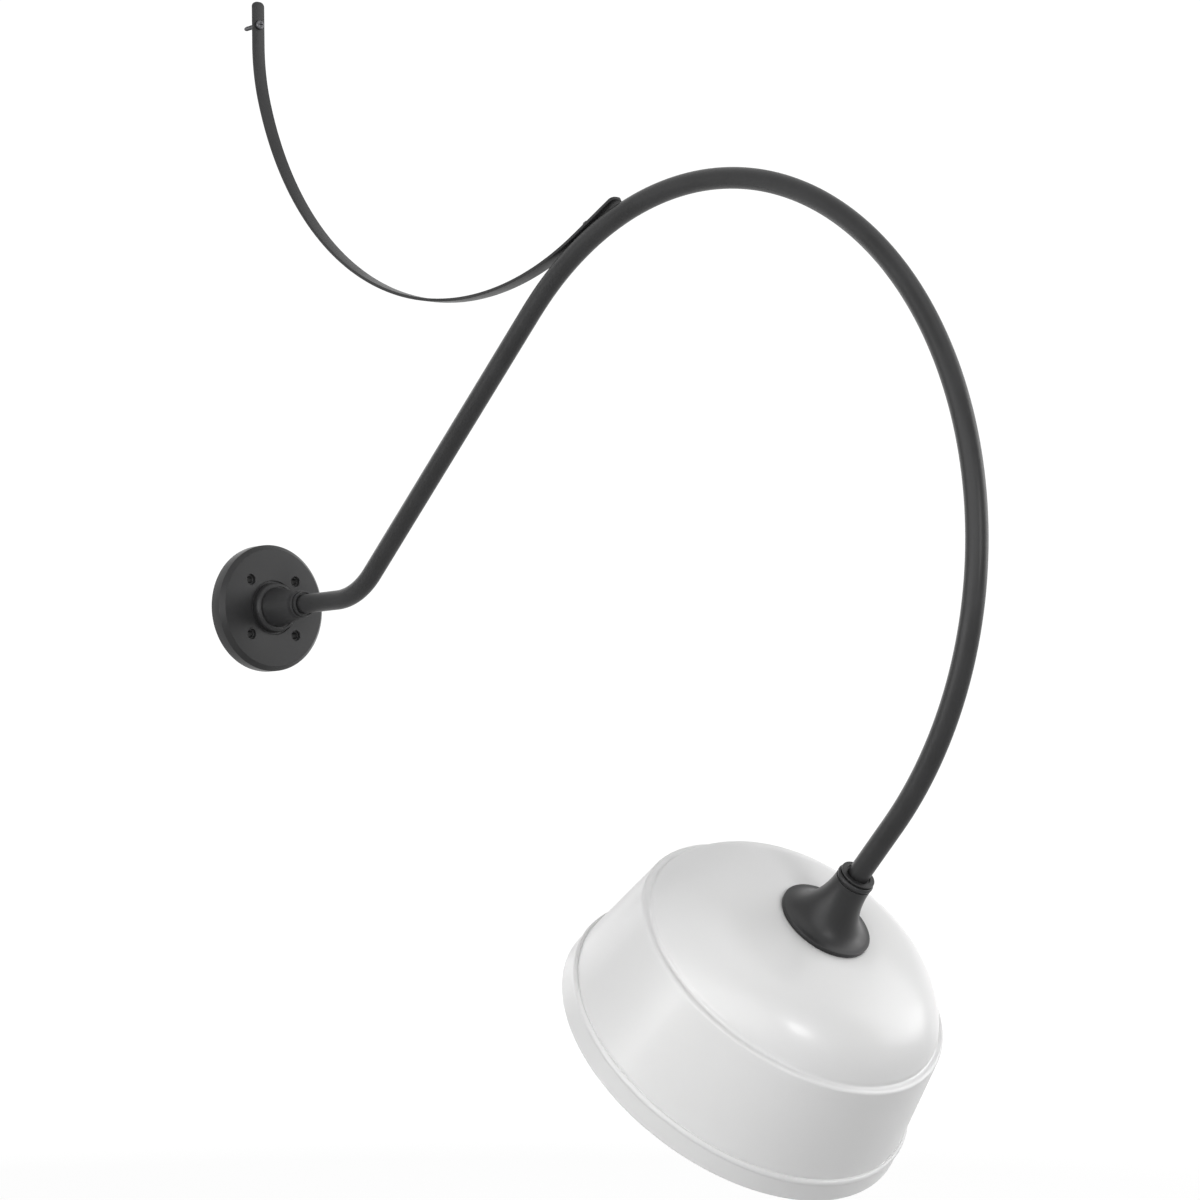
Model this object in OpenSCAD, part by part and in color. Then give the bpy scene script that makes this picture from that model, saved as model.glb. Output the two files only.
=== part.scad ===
// Barn light for an outside wall: a wide spun shade hangs at the end of a long gooseneck arm.
// Millimetres. X points out from the wall, Z points up, and the arm lies in the plane Y = 0.
// The origin is the middle of the canopy's rim, on the wall.

/* [Wall canopy] */
// Diameter of the cast canopy
canopy_d = 127; // [120:1:160]
// Distance from the wall to its front face
canopy_depth = 18; // [16:0.5:26]
// Thickness of its side wall
canopy_wall = 3; // [2:0.5:4]
// Thickness of its front face
canopy_face = 4; // [3:0.5:5]
// Bevel round the front face, along the depth
canopy_bevel = 4.4; // [2:0.2:6]
// Thickness of the foam gasket at the rim
gasket_t = 1.5; // [1:0.25:2.5]
// Width of the foam gasket
gasket_w = 6; // [4:0.5:9]
// Distance between the mounting holes, across and up
mount_pitch = 54.4; // [50:0.2:62]
// Diameter of a mounting hole
mount_hole_d = 7; // [5:0.5:8]
// Diameter of the flat recess at a mounting hole's mouth
mount_mouth_d = 10.4; // [8.5:0.1:11]
// Depth of that recess
mount_mouth_depth = 2.6; // [1:0.2:4]
// Diameter of the boss behind a mounting hole
mount_boss_d = 14; // [12:0.5:16]
// Distance of the earth screw below the middle
earth_drop = 42; // [36:1:46]
// Diameter of the earth screw's boss
earth_boss_d = 10; // [8:0.5:12]
// Length of the earth screw's boss
earth_boss_len = 5; // [4:0.5:8]

/* [Hub] */
// Diameter of the foot that stands on the canopy
hub_foot_d = 50; // [46:0.5:55]
// Height of the foot, with its rounded edge
hub_foot_h = 8.5; // [7:0.5:12]
// Diameter of the cone where it leaves the foot
hub_base_d = 40; // [34:0.5:44]
// Length of the hub from the canopy's face to its collar's end
hub_len = 48; // [42:1:70]
// Diameter of the collar at the end
hub_collar_d = 27.6; // [26:0.2:32]
// Length of the collar at the end
hub_collar_len = 6; // [4:0.5:9]
// Diameter of the threaded spigot behind the foot
spigot_d = 22; // [20:0.5:26]
// Diameter of the wire passage in the spigot
passage_d = 13; // [11:0.5:15]
// Depth to which the arm goes into the hub
arm_in_hub = 32; // [24:1:36]
// Thickness of the locknut on the spigot
locknut_t = 5; // [4:0.5:6]
// Width of the locknut across its flats
locknut_af = 30; // [28:0.5:34]
// Set screw's distance from the collar's end
hub_screw_back = 17; // [12:1:22]

/* [Lock rings] */
// Diameter of the ring where the arm leaves the hub
hub_ring_d = 25; // [24.2:0.2:27]
// Length of the ring where the arm leaves the hub
hub_ring_len = 5; // [3:0.5:8]
// Diameter of the ring where the arm enters the neck
neck_ring_d = 30.8; // [28:0.2:32]
// Length of the ring where the arm enters the neck
neck_ring_len = 2.8; // [2.6:0.2:5]
// Width of the recess round the tube in a ring's outer end
ring_recess_w = 1.6; // [0.8:0.1:1.8]
// Depth of that recess
ring_recess = 1.5; // [0.5:0.1:1.6]

/* [Arm] */
// Outside diameter of the tube
tube_d = 19.05; // [18:0.05:21]
// Wall of the tube
tube_wall = 1.6; // [1.2:0.1:2]
// Distance from the wall to the first bend
root_run = 124.5; // [100:0.5:180]
// Radius of the first bend, to the tube's middle
root_bend_r = 83.5; // [60:0.5:120]
// Slope of the rising length above the horizontal
rise_angle = 42.2; // [36:0.1:50]
// Length of the rising straight
rise_len = 333; // [250:1:420]
// Radius of the big crook, to the tube's middle
crook_r = 332.5; // [280:0.5:380]
// Slope of the last straight, and of the shade, below the horizontal
drop_angle = 43.6; // [35:0.1:60]
// Length of the last straight, up to the neck's reference point
drop_len = 44.5; // [20:0.5:120]

/* [Strap brace] */
// Width of the flat bar
strap_w = 14; // [12:0.5:18]
// Thickness of the flat bar
strap_t = 3; // [2.5:0.25:5]
// Slope of the strap where it touches the crook
strap_touch_angle = 26.4; // [18:0.1:34]
// Slope at which the strap's two bends meet
strap_knee_angle = -73; // [-80:0.5:-50]
// Radius of the strap's short bend beside the wall
strap_short_r = 205; // [120:1:280]
// Length of the flat end on the wall
strap_pad_len = 44; // [36:1:60]
// Length of the straight tail past the touching point
strap_tail_len = 59; // [40:1:90]
// Distance from the strap's top end to its wall screw
strap_screw_drop = 24; // [12:1:28]
// Distance from the touching point to the arm screw
strap_screw_past = 14; // [8:1:26]
// Corner radius of the strap's ends
strap_corner_r = 5; // [2:0.5:6]

/* [Neck fitter] */
// Distance from the reference point to the neck's top face
neck_top = 15; // [12:0.5:20]
// Distance from the reference point to the flange's underside
flange_low = 69; // [66:0.5:80]
// Diameter of the beaded collar at the top
neck_bead_d = 33.2; // [32.4:0.2:38]
// Length of the beaded collar
neck_bead_len = 5; // [4:0.5:7]
// Diameter of the neck below the collar
neck_d = 32.6; // [31:0.2:36]
// Diameter of the flange
flange_d = 83; // [80:0.5:96]
// Thickness of the flange's edge
flange_edge = 3.6; // [3:0.2:5]
// Wall of the hollow bell
bell_wall = 3.4; // [3:0.2:4]
// Distance from the reference point to the top of the bell's hollow
bell_top = 51; // [49:0.5:54]
// Depth to which the arm goes into the neck
arm_in_neck = 30; // [20:1:32]
// Set screw's distance below the neck's top face
neck_screw_down = 15; // [10:1:20]

/* [Shade] */
// Thickness of the spun sheet
shade_t = 1.2; // [0.8:0.1:1.6]
// Diameter of the hole at the top
shade_hole_d = 46.4; // [46:0.2:48]
// Diameter of the flat seat under the flange
seat_d = 88; // [86:1:96]
// Radius of the shallow crown
crown_r = 368; // [300:2:500]
// Tilt at which the crown turns into the knuckle
crown_tilt = 14.2; // [11:0.1:16]
// Radius of the knuckle round the dome
knuckle_r = 72.8; // [60:0.2:80]
// Tilt at which the dome ends in a crease
knuckle_tilt = 65.5; // [58:0.5:70]
// Radius of the shoulder's upper bend, below the crease
shoulder_top_r = 2.2; // [2:0.1:3]
// Radius of the shoulder's lower bend, above the wall
shoulder_low_r = 3; // [2.5:0.1:4]
// Width of the shoulder's conical band between the two bends
shoulder_band = 4; // [2:0.2:6]
// Slope of that band, below the crown's plane
shoulder_tilt = 33; // [28:1:45]
// Slope of the wall away from the shade's axis
wall_flare = 9.5; // [5:0.25:14]
// Length of the wall, along its slope
wall_len = 88.5; // [70:0.5:110]
// Radius of the bead below the wall
step_r = 3.2; // [2.5:0.1:4.5]
// Slope of the skirt away from the shade's axis
skirt_flare = 7.5; // [2:0.25:9]
// Length of the skirt below the bead
skirt_len = 14.8; // [10:0.2:30]
// Radius of the rolled hem at the rim
hem_r = 1.6; // [1.5:0.1:2.4]
// Thickness of the gasket between flange and shade
seal_t = 1; // [0.5:0.25:1.5]
// Distance of the shade's screws from its axis
shade_screw_at = 28; // [27.8:0.1:29]
// Diameter of a boss for a shade screw
shade_boss_d = 9; // [8:0.25:9.5]

/* [Socket] */
// Outside diameter of the pressed cup that holds the socket
cup_d = 45; // [44:0.2:45.6]
// Thickness of the cup's sheet
cup_t = 1.2; // [1:0.1:1.5]
// Depth of the cup above the shade's seat
cup_depth = 13; // [12:0.5:14]
// Diameter of the cup's flange
cup_flange_d = 68; // [66:1:72]
// Diameter of the wire hole in the cup's bottom
cup_hole_d = 23; // [22:0.5:24]
// Diameter of the porcelain's body inside the cup
porcelain_d = 36; // [36:0.5:40]
// Diameter of the porcelain's barrel below the cup
barrel_d = 41; // [38:0.5:42]
// Length of the porcelain, end to end
porcelain_len = 52; // [50:0.5:60]
// Distance of the socket's screws from the axis
socket_screw_at = 15; // [14.6:0.1:15.4]
// Inside diameter of the threaded shell
shell_bore_d = 26.7; // [26.6:0.05:27]
// Thickness of the threaded shell
shell_t = 0.6; // [0.4:0.1:0.8]
// Length of the threaded shell
shell_len = 22; // [18:0.5:24]
// Depth of the shell's mouth inside the porcelain
shell_inset = 3; // [2:0.5:5]

/* [Bulb] */
// Largest diameter of the glass
bulb_d = 60; // [55:0.5:66]
// Length of the bulb, end to end
bulb_len = 106; // [100:1:120]
// Thickness of the glass
glass_t = 1; // [0.8:0.1:1.4]
// Length of the bulb's metal base
base_len = 20; // [18:0.5:22]
// Diameter of the glass where it enters the base
bulb_neck_d = 25; // [23:0.5:26]

/* [Wires] */
// Diameter of an insulated wire
wire_d = 2.6; // [2:0.1:3]
// Distance of each wire from the tube's middle
wire_off = 3; // [2.2:0.1:4]
// Distance from the wall to the wires' ends in the canopy
wire_start = 5; // [3:0.5:8]

/* [Screws and fits] */
// Shank diameter of the earth screw and the shade's screws
small_screw_d = 3.9; // [3:0.1:4]
// Head diameter of the earth screw and the shade's screws
small_head_d = 7.4; // [6:0.2:7.6]
// Head height of the earth screw and the shade's screws
small_head_h = 2.4; // [1.6:0.2:3]
// Shank diameter of the strap's screws
strap_screw_d = 4.8; // [4:0.2:6]
// Head diameter of the strap's screws
strap_head_d = 9.5; // [8:0.25:11]
// Head height of the strap's screws
strap_head_h = 3.4; // [2.5:0.1:4]
// Length of the strap's wall screw behind the wall plane
strap_screw_grip = 22; // [12:1:40]
// Length of that screw's upper shank behind the wall plane, its taper included
strap_plain_past = 2; // [2:0.5:6]
// How much thinner than its plain shank that screw is at the middle of its thread
strap_thread_cut = 0.8; // [0.6:0.1:1.2]
// Length over which that screw's shank narrows to its thread
strap_thread_fade = 2.6; // [2:0.2:4]
// Diameter of the set screws
set_screw_d = 5.9; // [5:0.1:6]
// Radial clearance of a tube in its bore, and of a spigot in its hole
slip = 0.08; // [0.04:0.02:0.12]
// Radial clearance of a screw in its thread
thread_play = 0.05; // [0.03:0.01:0.08]
// Radial clearance of a screw in a plain hole
hole_play = 0.3; // [0.2:0.05:0.4]
// Radial clearance of the bulb's base in the threaded shell
bulb_play = 0.08; // [0.04:0.01:0.1]

/* [Hidden] */
$fn = 96;

// Overlap that joins two solids of one piece
weld = 0.5;
// Overlap of two lengths of a bent bar, and how much thinner the straight one is there
lap = 0.4;
hair = 0.05;
// Distance by which a cutter runs past the face it opens
past = 1;
tube_r = tube_d / 2;
tube_bore_r = tube_r - tube_wall;
canopy_r = canopy_d / 2;
collar_end = canopy_depth + hub_len;
hub_seat = collar_end - arm_in_hub;
mount_spots = [for (a = [-1, 1], b = [-1, 1]) [a, b] * mount_pitch / 2];

// The arm's path in its plane, as [x, z], with the heading in degrees above the horizontal
function ahead(h) = [cos(h), sin(h)];
function left_of(h) = [-sin(h), cos(h)];
rise_from = [root_run, 0] + root_bend_r * (left_of(0) - left_of(rise_angle));
crook_from = rise_from + rise_len * ahead(rise_angle);
crook_c = crook_from - crook_r * left_of(rise_angle);
drop_heading = drop_angle - 180;
drop_from = crook_c + crook_r * left_of(drop_heading);
neck_ref = drop_from + drop_len * ahead(drop_heading);

// The strap's path, worked out from where it touches the crook to the wall
strap_touch = crook_c + (crook_r + tube_r + strap_t / 2) * left_of(strap_touch_angle);
strap_long_r = (strap_touch.x - strap_t / 2 - strap_short_r * (1 + sin(strap_knee_angle)))
    / (sin(strap_touch_angle) - sin(strap_knee_angle));
strap_long_c = strap_touch + strap_long_r * left_of(strap_touch_angle);
strap_knee = strap_long_c - strap_long_r * left_of(strap_knee_angle);
strap_short_c = strap_knee + strap_short_r * left_of(strap_knee_angle);
strap_top = strap_short_c.y + strap_pad_len;
strap_screw_z = strap_top - strap_screw_drop;
strap_screw_spot = strap_touch + strap_screw_past * ahead(strap_touch_angle);
strap_screw_tip = strap_t + tube_wall + 4.4;

// The shade's axis starts at neck_ref, and distances along it are called heights below
seat_h = flange_low + seal_t;
cup_bottom = seat_h + shade_t - cup_depth;
porcelain_top = cup_bottom + cup_t;
porcelain_low = porcelain_top + porcelain_len;
terminal_t = 0.8;
terminal_top = porcelain_top - terminal_t;
wire_end = terminal_top - 0.2;
shell_low = porcelain_low - shell_inset;
shell_top = shell_low - shell_len;
shell_r = shell_bore_d / 2;
contact_h = shell_top + 2;
contact_gap = 0.3;
bulb_tip = contact_h + contact_gap;
bulb_tip_t = 1;
insulator_h = 3.4;
base_top = bulb_tip + bulb_tip_t + insulator_h;
base_low = base_top + base_len;
bulb_end = bulb_tip + bulb_len;
base_r = shell_r - bulb_play;

function arc_points(c, r, from, to, n) =
    [for (i = [0:n]) let(a = from + (to - from) * i / n) c + r * [cos(a), sin(a)]];
function oval_points(c, rx, ry, from, to, n) =
    [for (i = [0:n]) let(a = from + (to - from) * i / n) c + [rx * cos(a), ry * sin(a)]];

// Frames whose z runs out from the wall, along the shade's axis, or towards the photo's side
module out_from_wall() {
    rotate([0, 90, 0]) children();
}
module on_shade_axis() {
    translate([neck_ref.x, 0, neck_ref.y]) rotate([0, -90 - drop_angle, 0]) children();
}
module in_arm_plane(p) {
    translate([p.x, 0, p.y]) rotate([90, 0, 0]) children();
}

// One bend of a bar whose section is the child, from one heading to another
module bend(c, r, from, to) {
    side = to > from ? -90 : 90;
    in_arm_plane(c)
        rotate([0, 0, min(from, to) + side])
            rotate_extrude(angle = abs(to - from)) translate([r, 0]) children();
}
module straight(p, heading, len) {
    translate([p.x, 0, p.y]) rotate([0, 90 - heading, 0]) linear_extrude(len) children();
}

// A ring or a disc swept along the arm, off to one side of its middle, from one x to a distance
// past the neck's reference point. The straights lap into the bends and are thinner there by a
// hair, so that no two surfaces of the union lie on each other.
module along_arm(from_x, past_ref, side, out_r, in_r = 0) {
    module straight_section() {
        translate([0, side]) round_section(out_r - hair, in_r > 0 ? in_r + hair : 0);
    }
    module bend_section() {
        translate([0, -side]) round_section(out_r, in_r);
    }
    straight([from_x, 0], 0, root_run + lap - from_x) straight_section();
    bend([root_run, root_bend_r], root_bend_r, 0, rise_angle) bend_section();
    straight(rise_from - lap * ahead(rise_angle), rise_angle, rise_len + 2 * lap) straight_section();
    bend(crook_c, crook_r, rise_angle, drop_heading) bend_section();
    straight(drop_from - lap * ahead(drop_heading), drop_heading, drop_len + past_ref + lap)
        straight_section();
}
module round_section(out_r, in_r) {
    difference() {
        circle(r = out_r);
        if (in_r > 0) circle(r = in_r);
    }
}

module hex_recess(af, depth) {
    cylinder(d = af / cos(30), h = depth, $fn = 6);
}
module cross_recess(across, depth) {
    for (a = [0, 90]) rotate([0, 0, a]) translate([-across / 2, -0.5, 0]) cube([across, 1, depth]);
}
// A round shank with a tapered tip, from one height to another
module shank(d, from_z, to_z) {
    taper = d * 0.3;
    translate([0, 0, from_z]) cylinder(d1 = d * 0.7, d2 = d, h = taper);
    translate([0, 0, from_z + taper]) cylinder(d = d, h = to_z - from_z - taper);
}
// A pan head from z = 0 up, with its shank below
module pan_screw(shank_d, head_d, head_h, len) {
    difference() {
        union() {
            rotate_extrude() polygon(concat(
                [[0, 0], [head_d / 2, 0]],
                oval_points([head_d / 2 - head_h * 0.6, head_h * 0.4], head_h * 0.6, head_h * 0.6, 0, 90, 5),
                [[0, head_h]]));
            shank(shank_d, -len, head_h / 4);
        }
        translate([0, 0, head_h * 0.45]) cross_recess(head_d * 0.55, head_h);
    }
}
module set_screw(len) {
    difference() {
        cylinder(d = set_screw_d, h = len);
        translate([0, 0, len / 2]) hex_recess(set_screw_d * 0.5, len);
    }
}

// The cast cup on the wall
bevel_ease = canopy_bevel * 0.08;
// Depth and width of the groove in its face round the hub's foot
foot_groove = 1.4;
foot_groove_w = 2.2;
canopy_outline = [
    [spigot_d / 2 + slip, canopy_depth],
    [hub_foot_d / 2 - 0.2, canopy_depth],
    [hub_foot_d / 2, canopy_depth - foot_groove],
    [hub_foot_d / 2 + foot_groove_w - 0.2, canopy_depth - foot_groove],
    [hub_foot_d / 2 + foot_groove_w, canopy_depth],
    [canopy_r - canopy_bevel - bevel_ease, canopy_depth],
    [canopy_r - canopy_bevel, canopy_depth - bevel_ease],
    [canopy_r - bevel_ease, canopy_depth - canopy_bevel],
    [canopy_r, canopy_depth - canopy_bevel - bevel_ease],
    [canopy_r, gasket_t],
    [canopy_r - canopy_wall, gasket_t],
    [canopy_r - canopy_wall, canopy_depth - canopy_face - canopy_bevel],
    [canopy_r - canopy_wall - canopy_bevel, canopy_depth - canopy_face],
    [spigot_d / 2 + slip, canopy_depth - canopy_face]
];
earth_face = canopy_depth - canopy_face - earth_boss_len;
earth_screw_grip = earth_boss_len + 1;
module wall_canopy() {
    color("#3a3a3b") out_from_wall() difference() {
        union() {
            rotate_extrude() polygon(canopy_outline);
            for (p = mount_spots)
                translate([p.x, p.y, 0]) cylinder(d = mount_boss_d, h = canopy_depth - weld);
            translate([earth_drop, 0, earth_face]) cylinder(d = earth_boss_d, h = earth_boss_len + weld);
        }
        for (p = mount_spots) translate([p.x, p.y, 0]) {
            translate([0, 0, -past]) cylinder(d = mount_hole_d, h = canopy_depth + 2 * past);
            translate([0, 0, canopy_depth - mount_mouth_depth])
                cylinder(d = mount_mouth_d, h = mount_mouth_depth + past);
        }
        translate([earth_drop, 0, earth_face - past])
            cylinder(r = small_screw_d / 2 + thread_play, h = earth_screw_grip + 1 + past);
    }
}
gasket_r = canopy_r - 0.3;
module canopy_gasket() {
    color("#1e1e1e") out_from_wall() difference() {
        cylinder(r = gasket_r, h = gasket_t);
        translate([0, 0, -past]) cylinder(r = gasket_r - gasket_w, h = gasket_t + 2 * past);
    }
}
module earth_screw() {
    color("#3f7d4a") translate([earth_face, 0, -earth_drop]) rotate([0, -90, 0])
        pan_screw(small_screw_d, small_head_d, small_head_h, earth_screw_grip);
}

// The cast hub, a foot and a cone on a threaded spigot
nut_face = canopy_depth - canopy_face - locknut_t;
spigot_start = nut_face - 2;
hub_edge = 0.8;
// Width and depth of the groove between the foot's bead and the cone
cone_groove_w = 1.2;
cone_groove = 1;
hub_outline = concat(
    [[passage_d / 2, spigot_start], [spigot_d / 2, spigot_start], [spigot_d / 2, canopy_depth],
     [hub_foot_d / 2 - hub_edge, canopy_depth], [hub_foot_d / 2, canopy_depth + hub_edge]],
    oval_points([hub_base_d / 2 + cone_groove_w, canopy_depth + hub_foot_h * 0.4],
        (hub_foot_d - hub_base_d) / 2 - cone_groove_w, hub_foot_h * 0.6, 0, 90, 8),
    [[hub_base_d / 2 + cone_groove_w, canopy_depth + hub_foot_h - cone_groove],
     [hub_base_d / 2, canopy_depth + hub_foot_h - cone_groove],
     [hub_collar_d / 2 - hub_edge, collar_end - hub_collar_len - hub_edge],
     [hub_collar_d / 2, collar_end - hub_collar_len],
     [hub_collar_d / 2, collar_end - hub_edge], [hub_collar_d / 2 - hub_edge, collar_end],
     [tube_r + slip, collar_end], [tube_r + slip, hub_seat], [passage_d / 2, hub_seat]]);
hub_set_len = 4.5;
neck_set_len = 5.5;
module hub() {
    color("#323233") difference() {
        out_from_wall() rotate_extrude() polygon(hub_outline);
        translate([collar_end - hub_screw_back, 0, 0]) rotate([-90, 0, 0])
            cylinder(r = set_screw_d / 2 + thread_play, h = hub_base_d);
    }
}
module hub_locknut() {
    color("#b4b7ba") out_from_wall() translate([0, 0, nut_face]) difference() {
        cylinder(d = locknut_af / cos(30), h = locknut_t, $fn = 6);
        translate([0, 0, -past]) cylinder(r = spigot_d / 2 + thread_play, h = locknut_t + 2 * past);
    }
}
// A ring on the tube, with a groove round its foot and a recess in its far end
module lock_ring(d, len, groove) {
    edge = 0.4;
    groove_w = 1.1;
    rotate_extrude() polygon([
        [tube_r + slip, 0], [d / 2 - groove, 0], [d / 2 - groove, groove_w], [d / 2, groove_w + 0.2],
        [d / 2, len - edge], [d / 2 - edge, len], [tube_r + slip + ring_recess_w, len],
        [tube_r + slip + ring_recess_w, len - ring_recess], [tube_r + slip, len - ring_recess]]);
}
hub_ring_groove = 0.6;
neck_ring_groove = 1.4;
module hub_lock_ring() {
    color("#2f2f30") out_from_wall() translate([0, 0, collar_end])
        lock_ring(hub_ring_d, hub_ring_len, hub_ring_groove);
}
module hub_set_screw() {
    color("#2a2a2a") translate([collar_end - hub_screw_back, tube_r + slip, 0]) rotate([-90, 0, 0])
        set_screw(hub_set_len);
}

// The bent tube of the gooseneck, and the wires inside it
module arm_tube() {
    color("#3a3a3b") difference() {
        along_arm(hub_seat, neck_top + arm_in_neck, 0, tube_r, tube_bore_r);
        strap_screw_at() translate([0, 0, -strap_screw_tip - past])
            cylinder(r = strap_screw_d / 2 + thread_play, h = strap_screw_tip + past);
    }
}
module wire(side) {
    along_arm(wire_start, wire_end, side, wire_d / 2);
}
module wire_black() {
    color("#161616") wire(-wire_off);
}
module wire_white() {
    color("#e6e4de") wire(wire_off);
}

// The flat steel brace from the wall to the crook, in four lengths that lap like the arm's
module strap_section(thinner) {
    square([strap_t - 2 * thinner, strap_w - 2 * thinner], center = true);
}
// A flat end of the bar, its square edge at x = -lap and its rounded corners at x = len
module bar_end(len, thinner) {
    r = strap_corner_r;
    w = strap_w / 2 - thinner;
    translate([0, 0, thinner - strap_t / 2]) linear_extrude(strap_t - 2 * thinner) {
        translate([-lap, -w]) square([lap + len - r, 2 * w]);
        translate([0, r - w]) square([len, 2 * (w - r)]);
        for (s = [-1, 1]) translate([len - r, s * (w - r)]) circle(r = r);
    }
}
// Frame with z out of the strap's face at the arm screw
module strap_screw_at() {
    p = strap_screw_spot + strap_t / 2 * left_of(strap_touch_angle);
    translate([p.x, 0, p.y]) rotate([0, -strap_touch_angle, 0]) children();
}
knee_lap = lap / strap_short_r * 180 / PI;
module strap() {
    color("#3a3a3b") difference() {
        union() {
            translate([strap_t / 2, 0, strap_short_c.y]) rotate([0, -90, 0]) bar_end(strap_pad_len, hair);
            bend(strap_short_c, strap_short_r, -90, strap_knee_angle + knee_lap) strap_section(0);
            bend(strap_long_c, strap_long_r, strap_knee_angle, strap_touch_angle) strap_section(hair);
            translate([strap_touch.x, 0, strap_touch.y]) rotate([0, -strap_touch_angle, 0])
                bar_end(strap_tail_len, 0);
        }
        translate([-past, 0, strap_screw_z]) rotate([0, 90, 0])
            cylinder(r = strap_screw_d / 2 + hole_play, h = strap_t + 2 * past);
        strap_screw_at() translate([0, 0, -strap_t - past])
            cylinder(r = strap_screw_d / 2 + hole_play, h = strap_t + 2 * past);
    }
}
module strap_wall_screw() {
    thread_d = strap_screw_d - strap_thread_cut;
    fade_end = -strap_t - strap_plain_past - 1;
    color("#4a4a4b") translate([strap_t, 0, strap_screw_z]) rotate([0, 90, 0]) {
        pan_screw(strap_screw_d, strap_head_d, strap_head_h, strap_t + strap_plain_past);
        translate([0, 0, fade_end])
            cylinder(d1 = thread_d - 2 * hair, d2 = strap_screw_d - 2 * hair, h = strap_thread_fade);
        shank(thread_d, -strap_t - strap_screw_grip, fade_end + 1);
    }
}
module strap_arm_screw() {
    color("#a9acaf") strap_screw_at()
        pan_screw(strap_screw_d, strap_head_d, strap_head_h, strap_screw_tip);
}

// The cast bell that joins the arm to the shade
flange_ease = 1;
bead_r = 1.5;
bead_h = neck_bead_len / 2;
// Depth of the groove below the beaded collar
neck_groove = 0.9;
flare_from = neck_top + neck_bead_len + 1;
flare_to = flange_low - flange_edge;
flare_out = flange_d / 2 - flange_ease - neck_d / 2;
function flare_line(inset, from, to, n) =
    [for (i = [0:n]) let(
        h = from + (to - from) * i / n,
        s = min(1, (h - flare_from) / (flare_to - flare_from)))
        [neck_d / 2 + flare_out * (1 - sqrt(1 - s * s)) - inset, h]];
flare_curve = [for (i = [0:14]) let(a = 90 * i / 14)
    [neck_d / 2 + flare_out * (1 - cos(a)), flare_from + (flare_to - flare_from) * sin(a)]];
neck_outline = concat(
    [[0, neck_top], [neck_bead_d / 2 - bead_r + 0.5, neck_top]],
    oval_points([neck_bead_d / 2 - bead_r, neck_top + bead_h], bead_r, bead_h - 0.3, -75, 75, 6),
    [[neck_d / 2 - neck_groove, neck_top + neck_bead_len], [neck_d / 2 - neck_groove, flare_from - 0.6],
     [neck_d / 2, flare_from - 0.4]],
    flare_curve,
    [[flange_d / 2, flare_to + flange_ease * 0.7], [flange_d / 2, flange_low - 0.4],
     [flange_d / 2 - 0.4, flange_low]],
    [[0, flange_low]]);
module bell_hollow() {
    rotate_extrude() polygon(concat(
        [[0, bell_top]],
        flare_line(bell_wall, bell_top, flange_low - 6, 8),
        [[flange_d / 2 - bell_wall, flange_low + past], [0, flange_low + past]]));
}
shade_screw_turns = [60, 180, 300];
shade_screw_grip = 7;
module at_shade_screws() {
    for (a = shade_screw_turns) rotate([0, 0, a]) translate([shade_screw_at, 0, 0]) children();
}
module neck_fitter() {
    color("#343435") on_shade_axis() difference() {
        rotate_extrude() polygon(neck_outline);
        difference() {
            bell_hollow();
            at_shade_screws() translate([0, 0, bell_top - past]) cylinder(d = shade_boss_d, h = flange_low);
        }
        translate([0, 0, neck_top - past]) cylinder(r = tube_r + slip, h = arm_in_neck + past);
        translate([0, 0, neck_top]) cylinder(r = tube_bore_r, h = bell_top - neck_top + past);
        at_shade_screws() translate([0, 0, flange_low - shade_screw_grip - 0.5])
            cylinder(r = small_screw_d / 2 + thread_play, h = shade_screw_grip + 0.5 + past);
        translate([0, 0, neck_top + neck_screw_down]) rotate([-90, 0, 0])
            cylinder(r = set_screw_d / 2 + thread_play, h = neck_d);
    }
}
module neck_lock_ring() {
    color("#2f2f30") on_shade_axis() translate([0, 0, neck_top]) mirror([0, 0, 1])
        lock_ring(neck_ring_d, neck_ring_len, neck_ring_groove);
}
module neck_set_screw() {
    color("#2a2a2a") on_shade_axis()
        translate([0, tube_r + slip, neck_top + neck_screw_down]) rotate([-90, 0, 0])
            set_screw(neck_set_len);
}

// The spun shade
crown_rise = 3.3;
crown_c = [0, seat_h - crown_rise + crown_r];
knuckle_c = crown_c + (crown_r - knuckle_r) * [sin(crown_tilt), -cos(crown_tilt)];
crease = knuckle_c + knuckle_r * [sin(knuckle_tilt), -cos(knuckle_tilt)];
// The shoulder and the bead each start a little outside and below the line above them, so that
// a crease shows there
shoulder_c = crease + [1.15, shoulder_top_r + 0.43];
shoulder_start = -98;
band_out = [sin(shoulder_tilt), -cos(shoulder_tilt)];
shoulder_low_c = shoulder_c + (shoulder_top_r - shoulder_low_r) * band_out
    + shoulder_band * [cos(shoulder_tilt), sin(shoulder_tilt)];
wall_top = shoulder_low_c + shoulder_low_r * [cos(wall_flare), -sin(wall_flare)];
wall_low = wall_top + wall_len * [sin(wall_flare), cos(wall_flare)];
step_c = wall_low + [0.2, step_r * 0.9];
step_start = -84;
step_end = 38;
skirt_top = step_c + step_r * ahead(step_end) + [0.1, 0.5];
skirt_low = skirt_top + skirt_len * [sin(skirt_flare), cos(skirt_flare)];
// Width of the slope from the flat seat to the crown
seat_blend = 6;
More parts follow.
